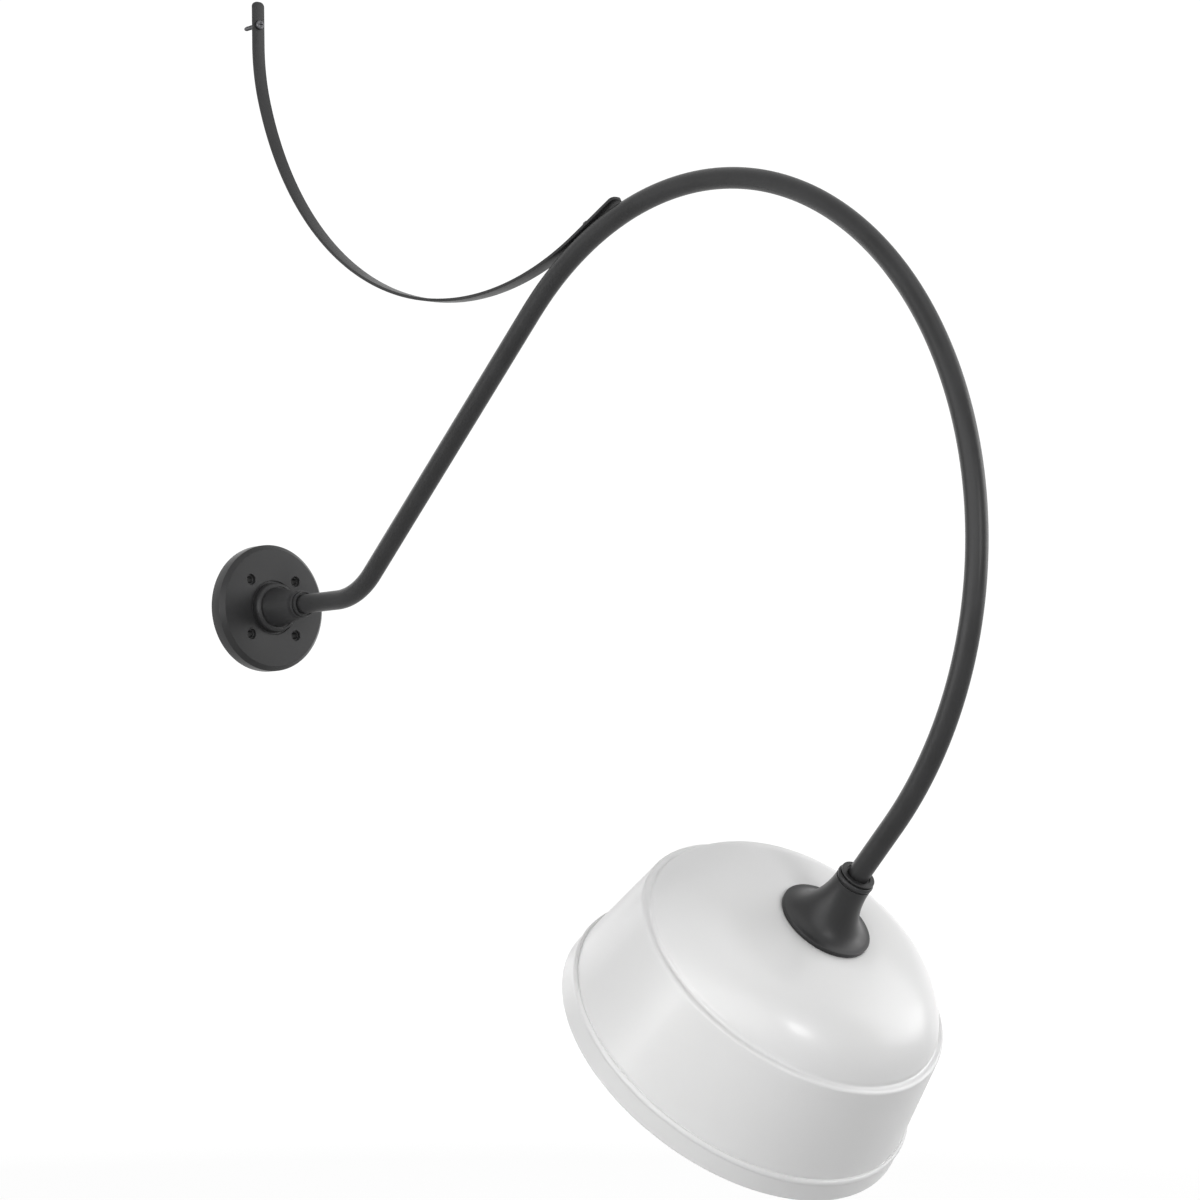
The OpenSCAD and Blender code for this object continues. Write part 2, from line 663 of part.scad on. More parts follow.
// The sheet's outside, or a line that lies that far inside it
function shade_line(inset) = concat(
    [[shade_hole_d / 2, seat_h + inset], [seat_d / 2, seat_h + inset]],
    arc_points(crown_c, crown_r - inset, asin((seat_d / 2 + seat_blend) / crown_r) - 90, crown_tilt - 90, 4),
    arc_points(knuckle_c, knuckle_r - inset, crown_tilt - 90, knuckle_tilt - 90, 12),
    arc_points(shoulder_c, shoulder_top_r - inset, shoulder_start, shoulder_tilt - 90, 4),
    arc_points(shoulder_low_c, shoulder_low_r - inset, shoulder_tilt - 90, -wall_flare, 5),
    [wall_low + inset * [-cos(wall_flare), sin(wall_flare)]],
    arc_points(step_c, step_r - inset, step_start, step_end, 8),
    [skirt_top + inset * [-cos(skirt_flare), sin(skirt_flare)]],
    [skirt_low + inset * [-cos(skirt_flare), sin(skirt_flare)]]);
function reversed(v) = [for (i = [len(v) - 1:-1:0]) v[i]];
module shade() {
    color("#f2f2f0") on_shade_axis() difference() {
        rotate_extrude() {
            polygon(concat(shade_line(0), reversed(shade_line(shade_t))));
            translate(skirt_low - [hem_r, 0]) circle(r = hem_r);
        }
        at_shade_screws() translate([0, 0, seat_h - past])
            cylinder(r = small_screw_d / 2 + hole_play, h = shade_t + 2 * past);
    }
}
module shade_gasket() {
    color("#1e1e1e") on_shade_axis() translate([0, 0, flange_low]) difference() {
        cylinder(r = flange_d / 2 - 0.8, h = seal_t);
        translate([0, 0, -past]) cylinder(d = shade_hole_d, h = seal_t + 2 * past);
        at_shade_screws() translate([0, 0, -past])
            cylinder(r = small_screw_d / 2 + hole_play, h = seal_t + 2 * past);
    }
}
cup_flange_low = seat_h + shade_t + cup_t;
module shade_screws() {
    color("#b4b7ba") on_shade_axis() at_shade_screws() translate([0, 0, cup_flange_low])
        pan_screw(small_screw_d, small_head_d, small_head_h, cup_flange_low - flange_low + shade_screw_grip);
}

// The pressed cup that carries the socket, clamped with the shade
module socket_cup() {
    r = cup_d / 2;
    outer = 1.5;
    inner = 0.8;
    color("#c3c5c7") on_shade_axis() difference() {
        rotate_extrude() polygon([
            [cup_hole_d / 2, cup_bottom], [r - outer, cup_bottom], [r, cup_bottom + outer],
            [r, seat_h + shade_t], [cup_flange_d / 2, seat_h + shade_t],
            [cup_flange_d / 2, cup_flange_low], [r - cup_t, cup_flange_low],
            [r - cup_t, cup_bottom + cup_t + inner], [r - cup_t - inner, cup_bottom + cup_t],
            [cup_hole_d / 2, cup_bottom + cup_t]]);
        at_shade_screws() translate([0, 0, seat_h])
            cylinder(r = small_screw_d / 2 + hole_play, h = shade_t + cup_t + past);
        at_socket_screws() translate([0, 0, cup_bottom - past])
            cylinder(r = socket_screw_r + hole_play, h = cup_t + 2 * past);
    }
}
socket_screw_r = 1.5;
socket_screw_len = 9;
module at_socket_screws() {
    for (s = [-1, 1]) translate([s * socket_screw_at, 0, 0]) children();
}

// The porcelain with its rim bead, and the shell and the contact it holds
barrel_from = cup_flange_low + 2;
bead_len = 7.5;
bead_out = 1.5;
mouth_r = 2;
shell_pocket_r = shell_r + shell_t + 0.1;
porcelain_outline = concat(
    [[0, porcelain_top], [porcelain_d / 2 - 1, porcelain_top], [porcelain_d / 2, porcelain_top + 1],
     [porcelain_d / 2, barrel_from], [barrel_d / 2 - 1, barrel_from], [barrel_d / 2, barrel_from + 1],
     [barrel_d / 2, barrel_from + bead_len - bead_out], [barrel_d / 2 - bead_out, barrel_from + bead_len]],
    oval_points([barrel_d / 2 - bead_out - mouth_r, porcelain_low - mouth_r], mouth_r, mouth_r, 0, 90, 4),
    [[shell_pocket_r, porcelain_low], [shell_pocket_r, shell_top - shell_t], [0, shell_top - shell_t]]);
module socket_body() {
    color("#ece9e0") on_shade_axis() difference() {
        rotate_extrude() polygon(porcelain_outline);
        at_socket_screws() translate([0, 0, porcelain_top - past])
            cylinder(r = socket_screw_r + thread_play, h = socket_screw_len + 1);
        at_terminals() translate([0, terminal_at, porcelain_top - past])
            cylinder(r = terminal_screw_r + thread_play, h = terminal_screw_len + past);
    }
}
module socket_screws() {
    color("#b4b7ba") on_shade_axis() at_socket_screws() translate([0, 0, cup_bottom]) mirror([0, 0, 1])
        pan_screw(2 * socket_screw_r, 5.4, 1.8, socket_screw_len);
}
terminal_at = 8;
terminal_from = 1.2;
terminal_len = 9.2;
terminal_w = 6;
terminal_screw_r = 1.4;
terminal_screw_len = 6;
module at_terminals() {
    for (s = [0, 1]) mirror([0, s, 0]) children();
}
module terminals() {
    color("#b5934f") on_shade_axis() at_terminals() translate([0, 0, terminal_top]) difference() {
        translate([-terminal_w / 2, terminal_from, 0]) cube([terminal_w, terminal_len, terminal_t]);
        translate([0, terminal_at, -past])
            cylinder(r = terminal_screw_r + hole_play / 2, h = terminal_t + 2 * past);
    }
}
module terminal_screws() {
    color("#b5934f") on_shade_axis() at_terminals()
        translate([0, terminal_at, terminal_top]) mirror([0, 0, 1])
            pan_screw(2 * terminal_screw_r, 4.4, 1.4, terminal_screw_len);
}
module socket_shell() {
    color("#c8a964") on_shade_axis() rotate_extrude() polygon([
        [contact_hole_r, shell_top - shell_t], [shell_r + shell_t, shell_top - shell_t],
        [shell_r + shell_t, shell_low], [shell_r, shell_low], [shell_r, shell_top],
        [contact_hole_r, shell_top]]);
}
contact_hole_r = 6;
contact_disc_r = 4.5;
contact_size = [3, 5];
module socket_contact() {
    color("#c8a964") on_shade_axis() translate([0, 0, shell_top - shell_t]) {
        cylinder(r = contact_disc_r, h = shell_t);
        translate(-contact_size / 2) cube([contact_size.x, contact_size.y, contact_h - shell_top + shell_t]);
    }
}

// The bulb, which screws into the socket
base_t = 0.5;
base_ease = 2;
base_hole_r = 4.6;
module bulb_base() {
    color("#c9cbcd") on_shade_axis() rotate_extrude() polygon([
        [base_hole_r, base_top], [base_r - base_ease, base_top], [base_r, base_top + base_ease],
        [base_r, base_low], [base_r - base_t, base_low], [base_r - base_t, base_top + base_ease + 0.2],
        [base_r - base_ease - 0.2, base_top + base_t], [base_hole_r, base_top + base_t]]);
}
module bulb_insulator() {
    color("#18181a") on_shade_axis() rotate_extrude() polygon([
        [0, bulb_tip + bulb_tip_t], [tip_r + 0.2, bulb_tip + bulb_tip_t],
        [base_r - base_ease - 0.8, base_top], [0, base_top]]);
}
tip_r = 3.4;
module bulb_contact() {
    color("#b9a06a") on_shade_axis() translate([0, 0, bulb_tip])
        cylinder(r1 = tip_r - 0.8, r2 = tip_r, h = bulb_tip_t);
}
globe_r = bulb_d / 2;
globe_h = bulb_end - globe_r;
glass_top = base_low - 4;
function glass_line(inset) = concat(
    [for (i = [0:12]) let(s = i / 12, u = (1 - cos(180 * s)) / 2, h = glass_top + (globe_h - glass_top) * s)
        [bulb_neck_d / 2 + (globe_r - bulb_neck_d / 2) * u - inset, h]],
    arc_points([0, globe_h], globe_r - inset, 7.5, 90, 11));
module bulb_glass() {
    color("#f7f5ee") on_shade_axis() rotate_extrude()
        polygon(concat(glass_line(0), reversed(glass_line(glass_t))));
}

wall_canopy();
canopy_gasket();
earth_screw();
hub();
hub_locknut();
hub_lock_ring();
hub_set_screw();
arm_tube();
wire_black();
wire_white();
strap();
strap_wall_screw();
strap_arm_screw();
neck_fitter();
neck_lock_ring();
neck_set_screw();
shade_gasket();
shade();
shade_screws();
socket_cup();
socket_body();
socket_screws();
terminals();
terminal_screws();
socket_shell();
socket_contact();
bulb_base();
bulb_insulator();
bulb_contact();
bulb_glass();
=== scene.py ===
import math

import bmesh
import bpy
import numpy as np
from mathutils import Matrix, Vector


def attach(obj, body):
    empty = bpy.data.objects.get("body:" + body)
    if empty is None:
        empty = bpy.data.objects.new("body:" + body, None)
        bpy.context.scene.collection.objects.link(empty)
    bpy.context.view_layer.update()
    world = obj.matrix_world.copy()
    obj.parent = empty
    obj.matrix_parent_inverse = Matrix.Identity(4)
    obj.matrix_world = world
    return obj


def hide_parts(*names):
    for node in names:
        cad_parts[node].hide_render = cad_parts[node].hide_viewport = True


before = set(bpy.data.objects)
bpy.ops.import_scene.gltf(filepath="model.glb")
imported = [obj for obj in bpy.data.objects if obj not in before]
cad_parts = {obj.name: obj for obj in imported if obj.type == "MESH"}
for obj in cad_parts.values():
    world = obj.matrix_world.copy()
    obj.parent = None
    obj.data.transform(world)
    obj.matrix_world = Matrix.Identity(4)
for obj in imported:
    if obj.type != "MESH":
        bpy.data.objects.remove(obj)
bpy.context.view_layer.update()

MM = 0.001

# Sizes, in millimetres, the same as in the part's source
TUBE_R, TUBE_WALL = 9.525, 1.6
CANOPY_R, CANOPY_DEPTH, CANOPY_WALL, BEVEL = 63.5, 18.0, 3.0, 4.4
CANOPY_BACK = 14.0          # the height of the hollow behind the canopy's face
BOLT_OFFSET = 27.2          # from the canopy's middle to each screw hole, in both directions
GASKET_IN_R, GASKET_OUT_R, GASKET_T = 57.2, 63.2, 1.5
COLLAR_R, COLLAR_END, HUB_SEAT = 13.8, 66.0, 34.0
TUBE_BORE_R = 9.6           # in the hub, the neck and their rings
ROOT_RUN, ROOT_R, RISE, RISE_LEN = 124.5, 83.5, 42.2, 333.0
CROOK_R, DROP, DROP_LEN = 332.5, 43.6, 44.5
STRAP_W, STRAP_T, STRAP_CORNER = 14.0, 3.0, 5.0
TOUCH, KNEE, SHORT_R, PAD_LEN, TAIL_LEN = 26.4, -73.0, 205.0, 44.0, 59.0
WALL_SCREW_IN, ARM_SCREW_ON = 24.0, 14.0    # from the strap's upper end, and from where it touches
SCREW_HEAD_D, SCREW_HEAD_H = 9.5, 3.4
NECK_END, NECK_SEAT, NECK_R, FLANGE_R, FLANGE_END = 15.0, 45.0, 16.3, 41.5, 69.0
SEAT_H, SHADE_T = 70.0, 1.2


def towards(angle):
    """The unit vector at an angle in degrees."""
    return np.array([math.cos(math.radians(angle)), math.sin(math.radians(angle))])


def left_of(angle):
    return np.array([-math.sin(math.radians(angle)), math.cos(math.radians(angle))])


RISE_FROM = np.array([ROOT_RUN, 0]) + ROOT_R * (left_of(0) - left_of(RISE))
CROOK_FROM = RISE_FROM + RISE_LEN * towards(RISE)
CROOK_C = CROOK_FROM - CROOK_R * left_of(RISE)
DROP_HEADING = DROP - 180
DROP_FROM = CROOK_C + CROOK_R * left_of(DROP_HEADING)
NECK_REF = DROP_FROM + DROP_LEN * towards(DROP_HEADING)
STRAP_TOUCH = CROOK_C + (CROOK_R + TUBE_R + STRAP_T / 2) * left_of(TOUCH)
SIN_KNEE, SIN_TOUCH = math.sin(math.radians(KNEE)), math.sin(math.radians(TOUCH))
LONG_R = (STRAP_TOUCH[0] - STRAP_T / 2 - SHORT_R * (1 + SIN_KNEE)) / (SIN_TOUCH - SIN_KNEE)
LONG_C = STRAP_TOUCH + LONG_R * left_of(TOUCH)
SHORT_C = LONG_C - LONG_R * left_of(KNEE) + SHORT_R * left_of(KNEE)
STRAP_SCREW_Z = SHORT_C[1] + PAD_LEN - WALL_SCREW_IN

AXIS = np.array([-math.cos(math.radians(DROP)), 0, -math.sin(math.radians(DROP))])
ACROSS = np.array([-math.sin(math.radians(DROP)), 0, math.cos(math.radians(DROP))])
REF = np.array([NECK_REF[0], 0, NECK_REF[1]])


# Places: each turns local points (x, y, z) into points of the lamp's frame, all in millimetres
def on_shade_axis(p):
    """The local z points from the neck's reference point down the shade's axis."""
    p = np.asarray(p, float)
    return REF + p[:, :1] * ACROSS + p[:, 1:2] * np.array([0, 1, 0]) + p[:, 2:] * AXIS


def from_wall(p):
    """The local z points out of the wall, the local x down."""
    p = np.asarray(p, float)
    return np.stack([p[:, 2], p[:, 1], -p[:, 0]], 1)


def placed(origin, x_to, z_to):
    """A place at origin whose z and x point as given."""
    z = np.array(z_to, float) / np.linalg.norm(z_to)
    x = np.array(x_to, float) / np.linalg.norm(x_to)
    y = np.cross(z, x)
    return lambda p: np.array(origin, float) + np.asarray(p, float) @ np.stack([x, y, z])


def moved(place, x, y):
    return lambda p: place(np.asarray(p, float) + np.array([x, y, 0.0]))


def lifted(place, z, flip=False):
    return lambda p: place(np.asarray(p, float) * (1, 1, -1 if flip else 1) + np.array([0, 0, z]))


# Profiles
def rounded(points, closed=True, step=10):
    """The corners (x, y, radius) as a line whose corners are arcs of up to step degrees a piece.
    A corner that is almost straight stays, and no arc takes more than half of a side."""
    out, n = [], len(points)
    for i, (x, y, r) in enumerate(points):
        p = np.array([x, y], float)
        if r <= 0 or (not closed and i in (0, n - 1)):
            out.append(p)
            continue
        a = np.array(points[i - 1][:2], float) - p
        b = np.array(points[(i + 1) % n][:2], float) - p
        la, lb = np.linalg.norm(a), np.linalg.norm(b)
        a, b = a / la, b / lb
        half = math.acos(np.clip(a @ b, -1, 1)) / 2
        if half > math.radians(89.5):
            out.append(p)
            continue
        t = min(r / math.tan(half), 0.49 * la, 0.49 * lb)
        r = t * math.tan(half)
        c = p + (a + b) / np.linalg.norm(a + b) * (r / math.sin(half))
        v0, v1 = p + a * t - c, p + b * t - c
        a0 = math.atan2(v0[1], v0[0])
        turn = (math.atan2(v1[1], v1[0]) - a0 + math.pi) % (2 * math.pi) - math.pi
        k = max(2, math.ceil(abs(math.degrees(turn)) / step))
        out += [c + r * np.array([math.cos(a0 + turn * j / k), math.sin(a0 + turn * j / k)])
                for j in range(k + 1)]
    return [tuple(p) for p in out]


def rod(r, low, high):
    """A cylinder's profile, for a tool or a boss."""
    return [(0, low), (r, low), (r, high), (0, high)]


def arc(c, r, a0, a1, n):
    return [(c[0] + r * math.cos(math.radians(a0 + (a1 - a0) * i / n)),
             c[1] + r * math.sin(math.radians(a0 + (a1 - a0) * i / n))) for i in range(n + 1)]


# Meshes
def added(name, data):
    """A new object in the scene."""
    obj = bpy.data.objects.new(name, data)
    bpy.context.scene.collection.objects.link(obj)
    return obj


def mesh_of(name, verts, faces, merge=None):
    """A mesh whose faces look outwards, points closer than merge joined."""
    mesh = bpy.data.meshes.new(name)
    mesh.from_pydata([tuple(v) for v in np.asarray(verts, float) * MM], [], faces)
    bm = bmesh.new()
    bm.from_mesh(mesh)
    if merge:
        bmesh.ops.remove_doubles(bm, verts=bm.verts, dist=merge)
    bmesh.ops.recalc_face_normals(bm, faces=bm.faces)
    bm.to_mesh(mesh)
    bm.free()
    return mesh


def finish_piece(name, verts, faces, body, material, slot, replaces, sharp=35):
    """A visible piece that rides on a body and stands for the CAD nodes named in replaces."""
    mesh = mesh_of(name, verts, faces, merge=1e-7)
    obj = added(name, mesh)
    smooth(mesh, sharp)
    mesh.materials.append(material)
    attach(obj, body)
    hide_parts(*replaces)
    return obj


def smooth(mesh, sharp):
    mesh.polygons.foreach_set("use_smooth", [True] * len(mesh.polygons))
    mesh.set_sharp_from_angle(angle=math.radians(sharp))


def ring(r, h, segments):
    if r < 1e-6:
        return [(0, 0, h)]
    return [(r * math.cos(2 * math.pi * i / segments), r * math.sin(2 * math.pi * i / segments), h)
            for i in range(segments)]


def skinned(rings, place, closed=True):
    """Vertices and faces of a skin over rings, some of which may be single points."""
    verts, rows = [], []
    for points in rings:
        rows.append(list(range(len(verts), len(verts) + len(points))))
        verts += points
    pairs = list(zip(rows, rows[1:]))
    if closed:
        pairs.append((rows[-1], rows[0]))
    faces = []
    for a, b in pairs:
        n = max(len(a), len(b))
        for i in range(n):
            j = (i + 1) % n
            if len(a) == len(b) == 1:
                continue
            if len(a) == 1:
                faces.append((a[0], b[i], b[j]))
            elif len(b) == 1:
                faces.append((a[i], b[0], a[j]))
            else:
                faces.append((a[i], b[i], b[j], a[j]))
    return place(np.array(verts)), faces


def revolved(profile, place, segments=128, closed=True):
    """A profile of (radius, height) turned about a place's z."""
    return skinned([ring(r, h, segments) for r, h in profile], place, closed)


def thread_rings(z0, z1, r, depth, pitch, form, end=1.0, segments=96, per_turn=18):
    """Rings of a thread between z0 and z1. form(phase) is its height, 1 at r and 0 at the root, and
    it fades to the height end over its first and its last turn."""
    rings = []
    for z in np.linspace(z0, z1, int((z1 - z0) / pitch * per_turn) + 1):
        fade = min(1.0, (z - z0) / pitch, (z1 - z) / pitch)
        turn = 2 * math.pi * np.arange(segments) / segments
        height = form((z / pitch - turn / (2 * math.pi)) % 1.0)
        radius = r - depth + depth * (end * (1 - fade) + height * fade)
        rings.append([(a * math.cos(t), a * math.sin(t), z) for a, t in zip(radius, turn)])
    return rings


def rolled(phase):
    """A round thread, as rolled into sheet."""
    return 0.5 + 0.5 * np.cos(2 * math.pi * phase)


def pressed_out(phase):
    """The same, standing out beyond r, for a shell round a rolled thread."""
    return 1 + rolled(phase)


def wood_thread(phase):
    """Thin ridges with a flat root between them."""
    return np.clip(1 - np.abs(phase - 0.5) / 0.3, 0, 1)


def swept(stations):
    """A closed bar through stations, each a ring of points in the lamp's frame."""
    n = len(stations[0])
    verts = np.vstack(stations)
    faces = [(k * n + i, k * n + (i + 1) % n, (k + 1) * n + (i + 1) % n, (k + 1) * n + i)
             for k in range(len(stations) - 1) for i in range(n)]
    faces.append(tuple(range(n)))
    faces.append(tuple(range((len(stations) - 1) * n, len(stations) * n)))
    return verts, faces


def swept_tube(outer, inner):
    """A hollow bar through stations, each an outer and an inner ring in the lamp's frame."""
    n, rows = len(outer[0]), len(outer)
    verts = np.vstack(outer + inner)
    base = n * rows
    faces = []
    for i in range(n):
        j = (i + 1) % n
        for k in range(rows - 1):
            a, b = k * n, (k + 1) * n
            faces.append((a + i, a + j, b + j, b + i))
            faces.append((base + a + i, base + b + i, base + b + j, base + a + j))
        for a in (0, (rows - 1) * n):
            faces.append((a + i, a + j, base + a + j, base + a + i))
    return verts, faces


def cut(obj, tools, operation="DIFFERENCE"):
    """Applies a boolean with each (verts, faces) in tools to obj's own mesh."""
    for verts, faces in tools:
        mesh = mesh_of("tool", verts, faces)
        tool = added("tool", mesh)
        modifier = obj.modifiers.new("cut", "BOOLEAN")
        modifier.operation, modifier.object, modifier.solver = operation, tool, "MANIFOLD"
        depsgraph = bpy.context.evaluated_depsgraph_get()
        result = bpy.data.meshes.new_from_object(obj.evaluated_get(depsgraph))
        obj.modifiers.clear()
        old, obj.data = obj.data, result
        bpy.data.meshes.remove(old)
        bpy.data.objects.remove(tool)
        bpy.data.meshes.remove(mesh)


# Materials. Scales of noise are per metre, distances of bumps in metres
def feed(tree, socket, value):
    """Links a node's output to a socket, or sets the socket to a constant."""
    if isinstance(value, bpy.types.NodeSocket):
        tree.links.new(value, socket)
    else:
        socket.default_value = value


class Nodes:
    """A material with a Principled shader, and short ways to add nodes to it."""

    def __init__(self, name):
        self.material = bpy.data.materials.new(name)
        self.material.use_nodes = True
        self.tree = self.material.node_tree
        self.tree.nodes.clear()
        self.out = self.tree.nodes.new("ShaderNodeOutputMaterial")
        self.shader = self.tree.nodes.new("ShaderNodeBsdfPrincipled")
        self.link(self.shader.outputs[0], self.out.inputs[0])
        self.coords = self.add("ShaderNodeTexCoord").outputs["Object"]

    def add(self, kind, **inputs):
        node = self.tree.nodes.new(kind)
        for key, value in inputs.items():
            feed(self.tree, node.inputs[key.replace("_", " ")], value)
        return node

    def link(self, a, b):
        self.tree.links.new(a, b)

    def noise(self, scale, detail=3.0, rough=0.5):
        return self.add("ShaderNodeTexNoise", Vector=self.coords, Scale=scale, Detail=detail,
                        Roughness=rough).outputs["Fac"]

    def ramp(self, value, low, high, to_low, to_high):
        node = self.add("ShaderNodeMapRange", Value=value)
        for key, x in (("From Min", low), ("From Max", high),
                       ("To Min", to_low), ("To Max", to_high)):
            node.inputs[key].default_value = x
        return node.outputs[0]

    def mixed(self, fac, a, b):
        node = self.tree.nodes.new("ShaderNodeMix")
        node.data_type = "RGBA"
        for socket, value in ((node.inputs[0], fac), (node.inputs[6], a), (node.inputs[7], b)):
            feed(self.tree, socket, value)
        return node.outputs[2]

    def math(self, operation, a, b=0.0):
        node = self.tree.nodes.new("ShaderNodeMath")
        node.operation = operation
        for socket, value in zip(node.inputs, (a, b)):
            feed(self.tree, socket, value)
        return node.outputs[0]

    def bump(self, *layers):
        """Bumps of (height, strength, distance), one on top of the other."""
        normal = None
        for height, strength, distance in layers:
            node = self.add("ShaderNodeBump", Height=height, Strength=strength, Distance=distance)
            if normal:
                self.link(normal, node.inputs["Normal"])
            normal = node.outputs[0]
        self.link(normal, self.shader.inputs["Normal"])

    def edge(self, radius, low, high):
        """1 on edges sharper than radius, 0 elsewhere, with the change between low and high."""
        bevel = self.tree.nodes.new("ShaderNodeBevel")
        bevel.samples = 4
        bevel.inputs["Radius"].default_value = radius
        geometry = self.tree.nodes.new("ShaderNodeNewGeometry")
        dot = self.tree.nodes.new("ShaderNodeVectorMath")
        dot.operation = "DOT_PRODUCT"
        self.link(bevel.outputs[0], dot.inputs[0])
        self.link(geometry.outputs["Normal"], dot.inputs[1])
        return self.ramp(self.math("SUBTRACT", 1.0, dot.outputs["Value"]), low, high, 0.0, 1.0)

    def set(self, **inputs):
        for key, value in inputs.items():
            feed(self.tree, self.shader.inputs[key.replace("_", " ")], value)


def grey(v, tint=(1.0, 1.0, 1.0)):
    return (v * tint[0], v * tint[1], v * tint[2], 1.0)


def dimmed(colour, share):
    return tuple(share * c for c in colour[:3]) + (1,)


def powder(name, level, rough, shine):
    """Satin black powder coat: fine orange peel, cloudy gloss, a little rubbed on its edges."""
    m = Nodes(name)
    cloud = m.noise(22.0, 4.0)
    speck = m.noise(2600.0, 1.0)
    dull, fresh = grey(level * 0.86, (1, 1, 1.02)), grey(level * 1.12, (1, 1, 1.03))
    rubbed = grey(level * 2.6)
    colour = m.mixed(m.ramp(cloud, 0.35, 0.65, 0.0, 1.0), dull, fresh)
    rub = m.math("MULTIPLY", m.edge(0.0007, 0.03, 0.25),
                 m.ramp(m.noise(180.0, 3.0), 0.45, 0.7, 0.0, 0.55))
    colour = m.mixed(rub, colour, rubbed)
    m.set(Base_Color=colour, Roughness=m.ramp(cloud, 0.3, 0.7, rough - 0.05, rough + 0.07),
          Specular_IOR_Level=shine)
    m.bump((m.noise(700.0, 2.0, 0.4), 0.22, 0.00012), (speck, 0.10, 0.00004))
    return m.material


RINGS_PER_METRE = 2600.0    # in radians of their sine


def enamel(name, level):
    """Gloss white enamel on spun sheet: faint orange peel and the rings that spinning leaves."""
    m = Nodes(name)
    cloud = m.noise(9.0, 3.0)
    colour = m.mixed(m.ramp(cloud, 0.35, 0.65, 0.0, 1.0), grey(level * 0.985, (1, 1, 0.995)),
                     grey(level))
    m.set(Base_Color=colour, Roughness=m.ramp(m.noise(30.0, 3.0), 0.3, 0.7, 0.31, 0.38),
          Coat_Weight=0.15, Coat_Roughness=0.12)
    along = m.tree.nodes.new("ShaderNodeVectorMath")
    along.operation = "DOT_PRODUCT"
    m.link(m.coords, along.inputs[0])
    along.inputs[1].default_value = tuple(AXIS)
    rings = m.math("SINE", m.math("MULTIPLY", along.outputs["Value"], RINGS_PER_METRE))
    m.bump((m.noise(160.0, 2.0, 0.4), 0.035, 0.0004), (rings, 0.010, 0.00006))
    return m.material


def metal(name, colour, rough, grain=600.0, dull=0.5):
    """Bare or plated metal with fine scratches and dull patches."""
    m = Nodes(name)
    patch = m.noise(120.0, 4.0)
    m.set(Base_Color=m.mixed(m.ramp(patch, 0.35, 0.7, 0.0, dull), colour, dimmed(colour, 0.62)),
          Metallic=1.0, Roughness=m.ramp(m.noise(grain, 3.0), 0.3, 0.7, rough - 0.07, rough + 0.1))
    m.bump((m.noise(grain * 2, 2.0), 0.12, 0.00005))
    return m.material


def plain(name, colour, rough, scale, bump, distance, **more):
    """A non-metal with a cloud in its colour and gloss, and a grain."""
    m = Nodes(name)
    cloud = m.noise(scale * 0.2, 3.0)
    m.set(Base_Color=m.mixed(m.ramp(cloud, 0.3, 0.7, 0.0, 1.0), dimmed(colour, 0.88), colour),
          Roughness=m.ramp(cloud, 0.3, 0.7, rough - 0.05, rough + 0.06), **more)
    m.bump((m.noise(scale, 3.0), bump, distance))
    return m.material


BLACK = powder("powder_black", 0.025, rough=0.37, shine=0.25)
WHITE = enamel("enamel_white", 0.80)
ZINC = metal("zinc", (0.62, 0.63, 0.65, 1), 0.32)
BLACK_STEEL = metal("black_oxide", (0.10, 0.10, 0.105, 1), 0.42)
GREEN = plain("green_lacquer", (0.05, 0.26, 0.09, 1), 0.35, 500.0, 0.1, 0.00005)
BRASS = metal("brass", (0.74, 0.54, 0.24, 1), 0.28)
BRIGHT = metal("rolled_metal", (0.80, 0.80, 0.80, 1), 0.22, dull=0.25)
SHEET = metal("cup_sheet", (0.66, 0.67, 0.68, 1), 0.36, grain=350.0)
FOAM = plain("foam", (0.03, 0.03, 0.031, 1), 0.85, 1800.0, 0.6, 0.0002)
PORCELAIN = plain("porcelain", (0.80, 0.77, 0.70, 1), 0.16, 90.0, 0.03, 0.0003,
                  Coat_Weight=0.5, Coat_Roughness=0.05)
VITRITE = plain("vitrite", (0.012, 0.012, 0.014, 1), 0.15, 300.0, 0.08, 0.0001)
WIRE_B = plain("wire_black_pvc", (0.02, 0.02, 0.02, 1), 0.4, 900.0, 0.1, 0.00005)
WIRE_W = plain("wire_white_pvc", (0.74, 0.73, 0.69, 1), 0.4, 900.0, 0.1, 0.00005)
SOLDER = metal("solder", (0.60, 0.59, 0.56, 1), 0.35)
OPAL = plain("opal_glass", (0.86, 0.85, 0.81, 1), 0.18, 60.0, 0.02, 0.0003,
             Coat_Weight=0.6, Coat_Roughness=0.04, Subsurface_Weight=0.15)

# Wall canopy, its gasket and the hub
SPIGOT_HOLE_R, HOLLOW_R = 11.1, CANOPY_R - CANOPY_WALL
canopy_profile = rounded([
    (SPIGOT_HOLE_R, CANOPY_DEPTH, 0.3),
    # The groove round the hub's foot
    (24.8, CANOPY_DEPTH, 0), (25.0, 16.6, 0.3), (27.0, 16.6, 0.3), (27.2, CANOPY_DEPTH, 0.35),
    (CANOPY_R - BEVEL, CANOPY_DEPTH, 0.8), (CANOPY_R, CANOPY_DEPTH - BEVEL, 1.0),
    (CANOPY_R, GASKET_T, 0.5), (HOLLOW_R, GASKET_T, 0.3),
    (HOLLOW_R, CANOPY_BACK - BEVEL, 1.5), (HOLLOW_R - BEVEL, CANOPY_BACK, 1.5),
    (SPIGOT_HOLE_R, CANOPY_BACK, 0.3)])
canopy = finish_piece("canopy_cast", *revolved(canopy_profile, from_wall, 192), "fixture", BLACK,
                      "powder_black", ["wall_canopy"])
spots = [(a * BOLT_OFFSET, b * BOLT_OFFSET) for a in (-1, 1) for b in (-1, 1)]
bolt_boss = [(0, 0), (6.7, 0), (7.0, 0.3), (7.0, 17.0), (0, 17.0)]
